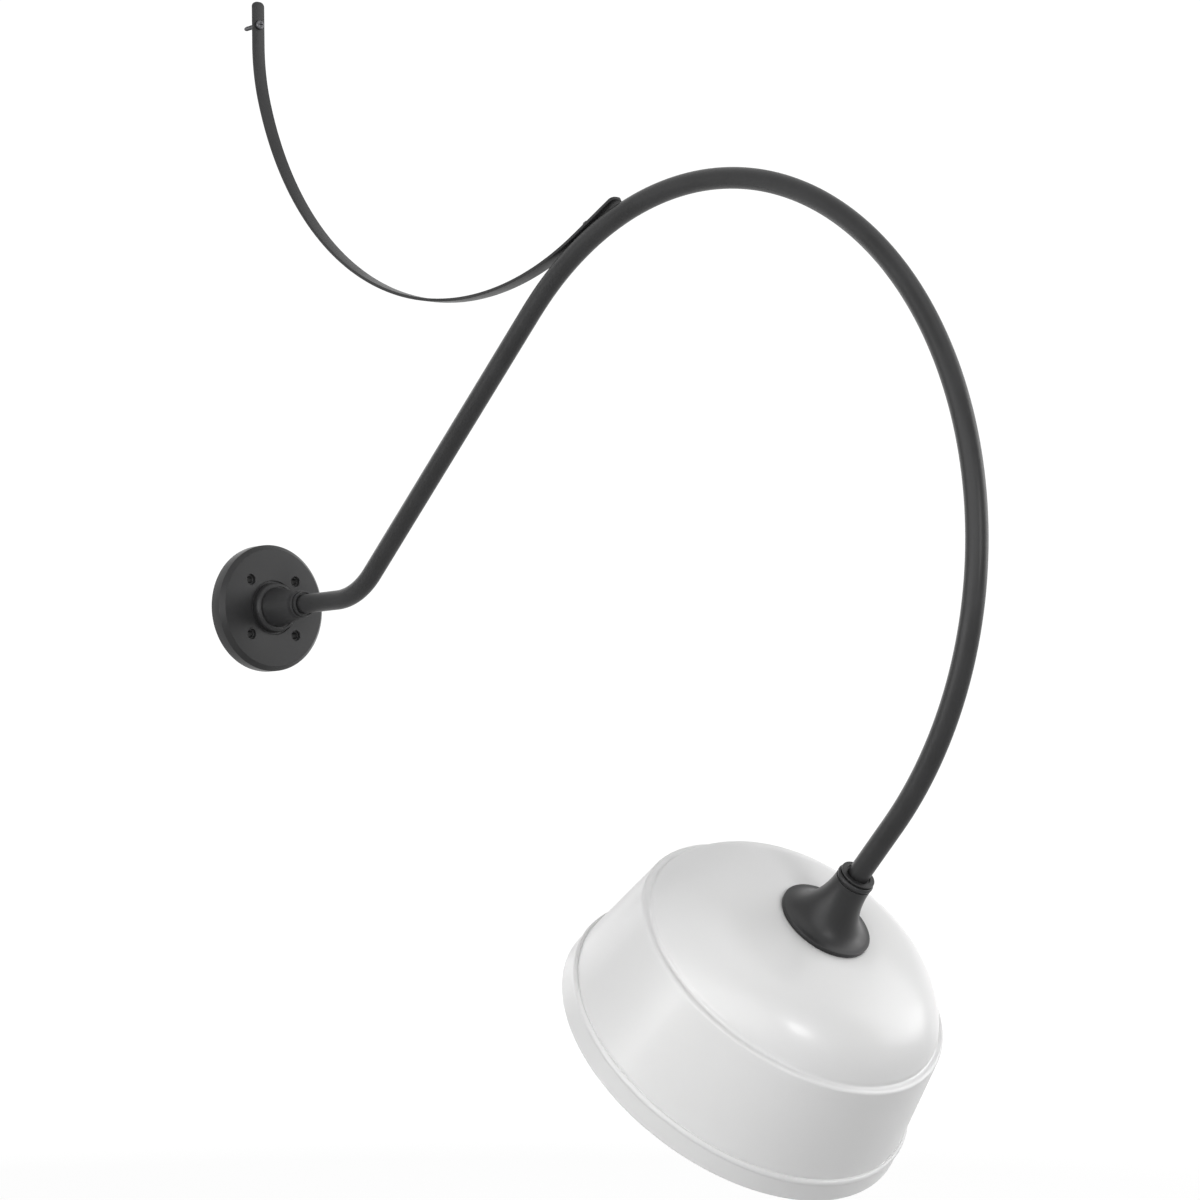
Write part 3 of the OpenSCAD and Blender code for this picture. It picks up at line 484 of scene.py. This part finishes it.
cut(canopy, [revolved(bolt_boss, moved(from_wall, x, y), 48) for x, y in spots]
    + [revolved(rod(5.0, 9.0, 15.0), moved(from_wall, 42.0, 0), 40)], "UNION")
# Each hole with its flat recess and eased rim, and a little beyond the face
hole = [(0, -1), (3.5, -1), (3.5, 15.0), (3.9, 15.4), (5.2, 15.4), (5.2, 17.6),
        (5.6, CANOPY_DEPTH), (6.1, CANOPY_DEPTH + 0.5), (0, CANOPY_DEPTH + 0.5)]
cut(canopy, [revolved(hole, moved(from_wall, x, y), 48) for x, y in spots])
smooth(canopy.data, 32)

gasket_profile = rounded([(r, h, 0.3) for r, h in (
    (GASKET_IN_R, 0), (GASKET_OUT_R, 0), (GASKET_OUT_R, GASKET_T), (GASKET_IN_R, GASKET_T))])
finish_piece("canopy_foam", *revolved(gasket_profile, from_wall, 160), "fixture", FOAM,
             "foam_rubber", ["canopy_gasket"])

foot_bead = [(21.2 + 3.8 * math.cos(math.radians(a)), 21.4 + 5.1 * math.sin(math.radians(a)), 0)
             for a in np.linspace(0, 84, 15)]
SPIGOT_R, WIRE_BORE_R = 11.0, 6.5
hub_profile = rounded(
    [(WIRE_BORE_R, 7.0, 0.3), (SPIGOT_R, 7.0, 0.6), (SPIGOT_R, CANOPY_DEPTH, 0),
     (24.2, CANOPY_DEPTH, 0), (25.0, CANOPY_DEPTH + 0.8, 0.5)] + foot_bead
    + [(21.2, 26.45, 0.3), (21.2, 25.5, 0.2), (20.0, 25.5, 0.2),
       (13.0, 59.2, 0.5), (COLLAR_R, 60.0, 0.35), (COLLAR_R, COLLAR_END, 0.9),
       (TUBE_BORE_R, COLLAR_END, 0.2), (TUBE_BORE_R, HUB_SEAT, 0), (WIRE_BORE_R, HUB_SEAT, 0.4)],
    step=8)
hub = finish_piece("hub_cast", *revolved(hub_profile, from_wall, 128), "fixture", BLACK,
                   "powder_black", ["hub"])
# The screw holes of hub and neck lie on the side that the photograph does not show
screw_hole = rod(3.0, 8.0, 24.0)
SET_SCREW_IN_HUB, SET_SCREW_IN_NECK = COLLAR_END - 17.0, NECK_END + 15.0
cut(hub, [revolved(screw_hole, placed((SET_SCREW_IN_HUB, 0, 0), (1, 0, 0), (0, 1, 0)), 40)])
smooth(hub.data, 35)


def ring_profile(d, length, groove):
    """A lock ring d across: a groove at its foot, a recess round the tube at its end."""
    recess_r, recess_depth = 11.2, 1.5
    return rounded([(TUBE_BORE_R, 0, 0.2), (d / 2 - groove, 0, 0), (d / 2 - groove, 1.1, 0.15),
                    (d / 2, 1.3, 0.3), (d / 2, length, 0.5), (recess_r, length, 0.35),
                    (recess_r, length - recess_depth, 0.25),
                    (TUBE_BORE_R, length - recess_depth, 0.1)], step=12)


finish_piece("hub_ring",
             *revolved(ring_profile(d=25.0, length=5.0, groove=0.6),
                       lifted(from_wall, COLLAR_END), 96),
             "fixture", BLACK, "powder_black", ["hub_lock_ring"])
finish_piece("neck_ring",
             *revolved(ring_profile(d=30.8, length=2.8, groove=1.4),
                       lifted(on_shade_axis, NECK_END, flip=True), 96),
             "fixture", BLACK, "powder_black", ["neck_lock_ring"])


# Arm and strap, bars swept along paths in the plane Y = 0. A path is a list of (point, heading)
def straight_path(p, heading, length, n):
    return [(p + towards(heading) * length * i / n, heading) for i in range(n + 1)]


def bend_path(c, r, from_h, to_h, step=1.5):
    side = -1 if to_h > from_h else 1
    n = max(2, math.ceil(abs(to_h - from_h) / step))
    headings = [from_h + (to_h - from_h) * i / n for i in range(n + 1)]
    return [(c + side * r * left_of(h), h) for h in headings]


arm_path = (straight_path(np.array([HUB_SEAT, 0]), 0, ROOT_RUN - HUB_SEAT, 3)[:-1]
            + bend_path(np.array([ROOT_RUN, ROOT_R]), ROOT_R, 0, RISE)
            + straight_path(RISE_FROM, RISE, RISE_LEN, 8)[1:-1]
            + bend_path(CROOK_C, CROOK_R, RISE, DROP_HEADING)
            + straight_path(DROP_FROM, DROP_HEADING, DROP_LEN + NECK_SEAT, 3)[1:])


def section_at(p, heading, offsets):
    """A section's (sideways, across) offsets as points of the lamp's frame."""
    side = left_of(heading)
    return np.array([(p[0] + a * side[0], b, p[1] + a * side[1]) for a, b in offsets])


def circle(r, n=56):
    return [(x, y) for x, y, _ in ring(r, 0, n)]


tube_faces = [[section_at(p, h, circle(r)) for p, h in arm_path]
              for r in (TUBE_R, TUBE_R - TUBE_WALL)]
tube = finish_piece("arm_bent_tube", *swept_tube(*tube_faces), "fixture", BLACK, "powder_black",
                    ["arm_tube"], sharp=50)

strap_path = (straight_path(np.array([STRAP_T / 2, SHORT_C[1] + PAD_LEN]), -90, PAD_LEN, 24)[:-1]
              + bend_path(SHORT_C, SHORT_R, -90, KNEE)[:-1]
              + bend_path(LONG_C, LONG_R, KNEE, TOUCH)
              + straight_path(STRAP_TOUCH, TOUCH, TAIL_LEN, 30)[1:])
steps = np.linalg.norm(np.diff([p for p, h in strap_path], axis=0), axis=1)
run = np.concatenate([[0], np.cumsum(steps)])


def strap_section(s):
    """The bar's section at the length s, narrower where its end corners round off."""
    end, half = min(s, run[-1] - s), STRAP_W / 2
    if end < STRAP_CORNER:
        half -= STRAP_CORNER - math.sqrt(max(0.0, STRAP_CORNER ** 2 - (STRAP_CORNER - end) ** 2))
    ease = 0.45 if end > 0.3 else 0.7
    return rounded([(a * STRAP_T / 2, b * half, ease)
                    for a, b in ((-1, -1), (1, -1), (1, 1), (-1, 1))], step=30)


def dense_ends(path, lengths):
    """The same path with more stations in its rounded ends."""
    extra = STRAP_CORNER * (1 - np.cos(np.linspace(0, math.pi / 2, 9)))
    want = sorted(set(np.round(np.concatenate([lengths, extra, lengths[-1] - extra]), 4)))
    xs, zs, headings = zip(*[(p[0], p[1], h) for p, h in path])
    return [((np.interp(s, lengths, xs), np.interp(s, lengths, zs)),
             np.interp(s, lengths, headings), s) for s in want]


strap = finish_piece("strap_bar", *swept([section_at(p, h, strap_section(s))
                                          for p, h, s in dense_ends(strap_path, run)]),
                     "fixture", BLACK, "powder_black", ["strap"], sharp=50)


# Pan-head screws with a crossed recess
SCREW_SEGMENTS = 64


def rings_of(profile, segments=SCREW_SEGMENTS):
    return [ring(r, h, segments) for r, h in profile]


def pan_head(name, place, shaft, node):
    """A screw of a shaft's rings and a head whose seat is at height 0 of its place."""
    d, h = SCREW_HEAD_D, SCREW_HEAD_H
    head = rounded([(d / 2 - 0.5, 0, 0), (d / 2, 0, 0.3), (d / 2, h, h * 0.62), (0, h, 0)],
                   closed=False)
    screw = finish_piece(name, *skinned(shaft + rings_of(head), place, closed=False), "fixture",
                         BLACK_STEEL, "black_steel", [node])
    w, a = 0.5, d * 0.29    # half the recess's width, and its reach from the middle
    outline = [(-w, -a), (w, -a), (w, -w), (a, -w), (a, w), (w, w), (w, a), (-w, a), (-w, w),
               (-a, w), (-a, -w), (-w, -w)]
    low = place(np.array([(x * 0.7, y * 0.7, h * 0.4) for x, y in outline]))
    high = place(np.array([(x * 1.15, y * 1.15, h + 0.6) for x, y in outline]))
    cut(screw, [swept([low, high])])
    smooth(screw.data, 35)


out = left_of(TOUCH)
arm_screw_at = STRAP_TOUCH + ARM_SCREW_ON * towards(TOUCH) + STRAP_T / 2 * out
wall_screw_place = placed((STRAP_T, 0, STRAP_SCREW_Z), (0, 0, 1), (1, 0, 0))
arm_screw_place = placed((arm_screw_at[0], 0, arm_screw_at[1]), (out[1], 0, -out[0]),
                         (out[0], 0, out[1]))
wood_shaft = (rings_of([(0, -25.0), (0.5, -24.7), (1.1, -24.1)])
              + thread_rings(-23.4, -5.7, 2.35, 0.6, 1.95, wood_thread, end=0.0,
                             segments=SCREW_SEGMENTS, per_turn=16)
              + rings_of([(2.0, -5.3), (2.4, -3.6), (2.4, 0)]))
machine_shaft = (rings_of([(0, -9.0), (1.7, -9.0)])
                 + thread_rings(-8.4, -3.2, 2.38, 0.4, 0.8, rolled, end=0.0,
                                segments=SCREW_SEGMENTS, per_turn=12)
                 + rings_of([(2.4, -2.9), (2.4, 0)]))
pan_head("strap_wall_screw_head", wall_screw_place, wood_shaft, "strap_wall_screw")
pan_head("strap_arm_screw_head", arm_screw_place, machine_shaft, "strap_arm_screw")
cut(strap, [revolved(rod(2.7, -4, 1), place, 48) for place in (wall_screw_place, arm_screw_place)])
smooth(strap.data, 50)
cut(tube, [revolved(rod(2.45, -9.5, 1), arm_screw_place, 48)])
smooth(tube.data, 50)

# Neck fitter
FLARE_FROM, FLARE_TO, FLARE_OUT = 21.0, 65.4, FLANGE_R - 1 - NECK_R
flare = [(NECK_R + FLARE_OUT * (1 - math.cos(math.radians(a))),
          FLARE_FROM + (FLARE_TO - FLARE_FROM) * math.sin(math.radians(a)))
         for a in np.linspace(0, 88, 40)]
bead = [(15.1 + 1.5 * math.cos(math.radians(a)), 17.5 + 2.2 * math.sin(math.radians(a)))
        for a in np.linspace(-76, 76, 18)]
flange = rounded([flare[-1] + (0,), (FLANGE_R, FLARE_TO + 0.3, 0.7),
                  (FLANGE_R, FLANGE_END, 0.4), (37.6, FLANGE_END, 0.2)], closed=False)[1:]
hollow = [(38.1, 66.0), (30.0, 63.0), (21.0, 57.0), (17.5, 51.0), (TUBE_R - TUBE_WALL, 51.0),
          (TUBE_R - TUBE_WALL, NECK_SEAT), (TUBE_BORE_R, NECK_SEAT),
          (TUBE_BORE_R, NECK_END + 0.3), (TUBE_BORE_R + 0.3, NECK_END)]
groove = [(15.4, 20.0), (15.4, 20.4), (NECK_R - 0.15, 20.5), (NECK_R, 20.65)]
neck_profile = [(15.6, NECK_END)] + bead + groove + flare + flange + hollow
neck = finish_piece("neck_cast", *revolved(neck_profile, on_shade_axis, 144), "fixture", BLACK,
                    "powder_black", ["neck_fitter"], sharp=38)
cut(neck, [revolved(screw_hole, placed(REF + SET_SCREW_IN_NECK * AXIS, AXIS, (0, 1, 0)), 40)])
smooth(neck.data, 38)

# Shade, one spun sheet with its rolled shoulder, step and hem
CROWN_R, KNUCKLE_R, STEP_R, HEM_R = 368.0, 72.8, 3.2, 1.6
SHOULDER_TOP_R, SHOULDER_LOW_R, BAND, BAND_TILT = 2.2, 3.0, 4.0, 33.0
CROWN_TILT, KNUCKLE_TILT, WALL_FLARE, SKIRT_FLARE = 14.2, 65.5, 9.5, 7.5
WALL_LEN, SKIRT_LEN, STEP_END = 88.5, 14.8, 38.0
HOLE_R, FLAT_R, CROWN_FROM_R = 23.2, 44.0, 50.0     # of the seat, and where the crown's arc begins
CROWN_ABOVE_SEAT = 3.3
INWARD = np.array([-0.64, 0.77])                    # the way the grooves go, in (radius, height)
SHOULDER_GROOVE_DEPTH, SHOULDER_GROOVE_WIDTH = 2.3, 2.2
STEP_GROOVE_DEPTH, STEP_GROOVE_WIDTH = 0.7, 0.9

crown_c = np.array([0, SEAT_H - CROWN_ABOVE_SEAT + CROWN_R])
knuckle_c = crown_c + (CROWN_R - KNUCKLE_R) * towards(CROWN_TILT - 90)
crease = knuckle_c + KNUCKLE_R * towards(KNUCKLE_TILT - 90)
shoulder_c = crease + [1.15, SHOULDER_TOP_R + 0.43]
shoulder_low_c = (shoulder_c + (SHOULDER_TOP_R - SHOULDER_LOW_R) * towards(BAND_TILT - 90)
                  + BAND * towards(BAND_TILT))
wall_low = (shoulder_low_c + SHOULDER_LOW_R * towards(-WALL_FLARE)
            + WALL_LEN * towards(90 - WALL_FLARE))
step_c = wall_low + [0.2, STEP_R * 0.9]
skirt_top = step_c + STEP_R * towards(STEP_END) + [0.1, 0.5]
skirt_low = skirt_top + SKIRT_LEN * towards(90 - SKIRT_FLARE)


def grooved(line, centre, depth, width):
    """A profile line with a soft groove pressed into it, made dense where the groove lies."""
    dense = [np.array(line[0])]
    for a, b in zip(line, line[1:]):
        a, b = np.array(a), np.array(b)
        near = min(np.linalg.norm(a - centre), np.linalg.norm(b - centre)) < 4 * width
        parts = max(1, math.ceil(np.linalg.norm(b - a) / (0.3 if near else 100)))
        dense += [a + (b - a) * i / parts for i in range(1, parts + 1)]
    away = [np.linalg.norm(q - centre) / width for q in dense]
    return [tuple(q + depth * math.exp(-d ** 2) * INWARD) for q, d in zip(dense, away)]


def shade_line(inset):
    """The sheet's profile from the neck's hole to the skirt's end, inset from its outer face."""
    crown_from = math.degrees(math.asin(CROWN_FROM_R / CROWN_R)) - 90
    line = [(HOLE_R, SEAT_H + inset), (FLAT_R, SEAT_H + inset)]
    line += arc(crown_c, CROWN_R - inset, crown_from, CROWN_TILT - 90, 24)
    line += arc(knuckle_c, KNUCKLE_R - inset, CROWN_TILT - 90, KNUCKLE_TILT - 90, 48)[1:]
    line += arc(shoulder_c, SHOULDER_TOP_R - inset, -98, BAND_TILT - 90, 8)
    line += arc(shoulder_low_c, SHOULDER_LOW_R - inset, BAND_TILT - 90, -WALL_FLARE, 10)
    wall_a = shoulder_low_c + (SHOULDER_LOW_R - inset) * towards(-WALL_FLARE)
    wall_b = wall_low - inset * towards(-WALL_FLARE)
    line += [tuple(wall_a + (wall_b - wall_a) * i / 10) for i in range(1, 11)]
    line += arc(step_c, STEP_R - inset, -84, STEP_END, 16)
    line.append(tuple(skirt_top - inset * towards(-SKIRT_FLARE)))
    line = grooved(line, crease + [2.0, 0.9] + inset * INWARD,
                   SHOULDER_GROOVE_DEPTH, SHOULDER_GROOVE_WIDTH)
    return grooved(line, wall_low + [-0.1, -0.5] - [inset, 0], STEP_GROOVE_DEPTH, STEP_GROOVE_WIDTH)


def eased(line, reach=0.5, rounds=3):
    """Rounds the creases of a dense line a little, its ends kept."""
    line = np.array(line)
    for _ in range(rounds):
        mid = line.copy()
        seg = np.linalg.norm(np.diff(line, axis=0), axis=1)
        for i in range(1, len(line) - 1):
            if min(seg[i - 1], seg[i]) < 4:
                mid[i] = line[i] * (1 - reach) + (line[i - 1] + line[i + 1]) / 2 * reach
        line = mid
    return [tuple(p) for p in line]


outer, inner = eased(shade_line(0)), eased(shade_line(SHADE_T))
hem_c = skirt_low - [HEM_R, 0]
hem = [tuple(hem_c + HEM_R * towards(a)) for a in np.linspace(-SKIRT_FLARE, 215, 22)]
shade_profile = outer + hem + inner[::-1]
finish_piece("shade_spun", *revolved(shade_profile, on_shade_axis, 224), "fixture", WHITE,
             "shade_white", ["shade"], sharp=60)

# Socket and bulb
BASE_R, SHELL_R, PITCH, BASE_END = 13.27, 13.35, 3.6, 113.1
SOCKET_FLOOR, SOCKET_FACE = 85.8, 111.4
GLOBE_R, GLOBE_H, GLASS_TOP, GLASS_NECK_R, GLASS_T = 30.0, 164.7, 109.1, 12.5, 1.0
BULB_END = GLOBE_H + GLOBE_R
base_rings = thread_rings(95.4, 110.4, BASE_R, 0.9, PITCH, rolled)
base_rings += rings_of([
    (13.2, 111.2), (BASE_R, BASE_END), (12.77, BASE_END), (12.2, 110.0), (12.2, 96.0), (11.0, 93.7),
    (4.6, 93.6), (4.6, 93.1), (11.2, 93.1), (12.6, 94.2)], 96)
finish_piece("bulb_thread", *skinned(base_rings, on_shade_axis), "bulb", BRIGHT, "bulb_metal",
             ["bulb_base"], sharp=60)
shell_rings = thread_rings(88.6, 106.6, SHELL_R, 0.45, PITCH, pressed_out)
shell_rings += rings_of([
    (SHELL_R, 108.4), (13.95, 108.4), (13.95, SOCKET_FLOOR), (6.0, SOCKET_FLOOR),
    (6.0, SOCKET_FLOOR + 0.6), (SHELL_R, SOCKET_FLOOR + 0.6)], 96)
finish_piece("socket_thread", *skinned(shell_rings, on_shade_axis), "fixture", BRASS, "shell_brass",
             ["socket_shell"], sharp=60)


def glass_line(inset):
    """The globe's profile from its neck to its end, inset from its outer face."""
    line = []
    for s in np.arange(45) / 44:
        u = (1 - math.cos(math.pi * s)) / 2
        line.append((GLASS_NECK_R + (GLOBE_R - GLASS_NECK_R) * u - inset,
                     GLASS_TOP + (GLOBE_H - GLASS_TOP) * s))
    return line + [((GLOBE_R - inset) * math.cos(math.radians(a)),
                    GLOBE_H + (GLOBE_R - inset) * math.sin(math.radians(a)))
                   for a in np.linspace(3, 90, 30)]


glass_profile = (glass_line(0)[:-1] + [(0, BULB_END), (0, BULB_END - GLASS_T)]
                 + glass_line(GLASS_T)[:-1][::-1])
finish_piece("bulb_opal", *revolved(glass_profile, on_shade_axis, 96), "bulb", OPAL, "opal_glass",
             ["bulb_glass"], sharp=50)
porcelain_profile = rounded([
    (0, 59.4, 0), (18.0, 59.4, 1.0), (18.0, 74.4, 0.4), (20.5, 74.4, 1.0), (20.5, 80.4, 0.8),
    (19.0, 81.9, 1.0), (19.0, SOCKET_FACE, 2.0), (14.05, SOCKET_FACE, 0.8),
    (14.05, SOCKET_FLOOR, 0), (0, SOCKET_FLOOR, 0)], closed=False)
finish_piece("socket_porcelain", *revolved(porcelain_profile, on_shade_axis, 112, closed=False),
             "fixture", PORCELAIN, "porcelain", ["socket_body"], sharp=45)

# CAD nodes whose meshes are seen as they are, each with its material
kept = {
    "earth_screw": GREEN, "hub_locknut": ZINC, "hub_set_screw": BLACK_STEEL,
    "neck_set_screw": BLACK_STEEL, "wire_black": WIRE_B, "wire_white": WIRE_W,
    "shade_gasket": FOAM, "shade_screws": ZINC, "socket_cup": SHEET, "socket_screws": ZINC,
    "terminals": BRASS, "terminal_screws": BRASS, "socket_contact": BRASS,
    "bulb_insulator": VITRITE, "bulb_contact": SOLDER,
}
for node, material in kept.items():
    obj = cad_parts[node]
    obj.data.materials.clear()
    obj.data.materials.append(material)
    weld = obj.modifiers.new("weld", "WELD")
    weld.merge_threshold = 1e-6
    obj.data.polygons.foreach_set("use_smooth", [True] * len(obj.data.polygons))
    split = obj.modifiers.new("edges", "EDGE_SPLIT")
    split.split_angle = math.radians(30)

# Floor, light and camera
FLOOR_Z, FLOOR_HALF = -0.62, 14.0
FLOOR_GREY, FLOOR_GLOW = 0.6, 1.12
SHADOW_NEAR, SHADOW_FAR, GLOW_NEAR = 1.2, 3.0, 0.84     # beyond SHADOW_FAR the glow is whole
WORLD_LIT, WORLD_SEEN = 0.03, 1.06
PHOTO_WIDTH, FOCAL_PIXELS, SENSOR = 1200, 3736.44, 36.0
CAMERA_AT = (3.0525, -2.2021, -0.3009)
MIDDLE, LAMP_AWAY = Vector((0.6, 0.0, -0.1)), 3.0
WHITE_LIGHT = (1, 1, 1, 1)


def seen_ray(tree):
    """1 for camera, glossy and transmission rays, 0 for light on its way."""
    path = tree.nodes.new("ShaderNodeLightPath")
    total = path.outputs["Is Camera Ray"]
    for ray in ("Is Glossy Ray", "Is Transmission Ray"):
        node = tree.nodes.new("ShaderNodeMath")
        node.operation, node.use_clamp = "ADD", True
        tree.links.new(total, node.inputs[0])
        tree.links.new(path.outputs[ray], node.inputs[1])
        total = node.outputs[0]
    return total


def stage_material():
    """A pale floor that looks white to the camera, all but the shadow that lies on it."""
    m = Nodes("floor_pale")
    m.tree.nodes.remove(m.shader)
    diffuse = m.add("ShaderNodeBsdfDiffuse", Color=grey(FLOOR_GREY))
    glow = m.add("ShaderNodeEmission", Color=WHITE_LIGHT, Strength=FLOOR_GLOW)
    away = m.tree.nodes.new("ShaderNodeVectorMath")
    away.operation = "LENGTH"
    m.link(m.coords, away.inputs[0])
    share = m.ramp(away.outputs["Value"], SHADOW_NEAR, SHADOW_FAR, GLOW_NEAR, 1.0)
    mix = m.tree.nodes.new("ShaderNodeMixShader")
    m.link(m.math("MULTIPLY", seen_ray(m.tree), share), mix.inputs[0])
    m.link(diffuse.outputs[0], mix.inputs[1])
    m.link(glow.outputs[0], mix.inputs[2])
    m.link(mix.outputs[0], m.out.inputs[0])
    return m.material


floor_mesh = bpy.data.meshes.new("floor")
floor_mesh.from_pydata([(x * FLOOR_HALF, y * FLOOR_HALF, FLOOR_Z)
                        for x, y in ((-1, -1), (1, -1), (1, 1), (-1, 1))], [], [(0, 1, 2, 3)])
floor = added("floor", floor_mesh)
floor_mesh.materials.append(stage_material())

world = bpy.data.worlds.new("studio")
bpy.context.scene.world = world
world.use_nodes = True
tree = world.node_tree
tree.nodes.clear()
world_out = tree.nodes.new("ShaderNodeOutputWorld")
pick = tree.nodes.new("ShaderNodeMixShader")
tree.links.new(seen_ray(tree), pick.inputs[0])
for socket, strength in ((pick.inputs[1], WORLD_LIT), (pick.inputs[2], WORLD_SEEN)):
    background = tree.nodes.new("ShaderNodeBackground")
    background.inputs[0].default_value = WHITE_LIGHT
    background.inputs[1].default_value = strength
    tree.links.new(background.outputs[0], socket)
tree.links.new(pick.outputs[0], world_out.inputs[0])

# Camera, at the photograph's place
AZ, EL, ROLL = math.radians(49.0244), math.radians(-4.6364), math.radians(-0.9993)
back = Vector((math.sin(AZ) * math.cos(EL), -math.cos(AZ) * math.cos(EL), math.sin(EL)))
right = (-back).cross(Vector((0, 0, 1))).normalized()
up = right.cross(-back)
cam_right = math.cos(ROLL) * right + math.sin(ROLL) * up
cam_up = -math.sin(ROLL) * right + math.cos(ROLL) * up
camera_data = bpy.data.cameras.new("camera")
camera = added("camera", camera_data)
camera.matrix_world = Matrix([
    (cam_right[i], cam_up[i], back[i], CAMERA_AT[i]) for i in range(3)] + [(0, 0, 0, 1)])
camera_data.sensor_width = SENSOR
camera_data.lens = SENSOR * FOCAL_PIXELS / PHOTO_WIDTH
camera_data.clip_start, camera_data.clip_end = 0.05, 60.0
bpy.context.scene.camera = camera


def lamp(name, azimuth, elevation, side, power):
    """A square soft lamp that shines on the middle of the object from a direction."""
    around, over = math.radians(azimuth), math.radians(elevation)
    direction = Vector((math.cos(around) * math.cos(over), math.sin(around) * math.cos(over),
                        math.sin(over)))
    data = bpy.data.lights.new(name, "AREA")
    data.shape, data.size, data.energy = "SQUARE", side, power
    obj = added(name, data)
    obj.location = MIDDLE + direction * LAMP_AWAY
    obj.rotation_mode = "QUATERNION"
    obj.rotation_quaternion = direction.to_track_quat("Z", "Y")
    obj.visible_camera = False


# Name, azimuth and elevation in degrees (the shade is towards azimuth 0), side in metres, watts
for name, azimuth, elevation, side, power in (
        ("left", -90, 0, 3.2, 66), ("left_low", -90, -25, 2.4, 67), ("front", -45, 10, 1.8, 22),
        ("streak", -8, 5, 0.6, 16), ("soft", 57, 43, 0.9, 3), ("right", 60, 15, 2.0, 35),
        ("glint", 73, 7, 0.8, 4), ("right_rear", 110, 10, 2.0, 7), ("rear", 178, 8, 2.0, 12),
        ("top", 0, 62, 2.2, 16)):
    lamp(name, azimuth, elevation, side, power)

bpy.context.scene.view_settings.view_transform = "Standard"
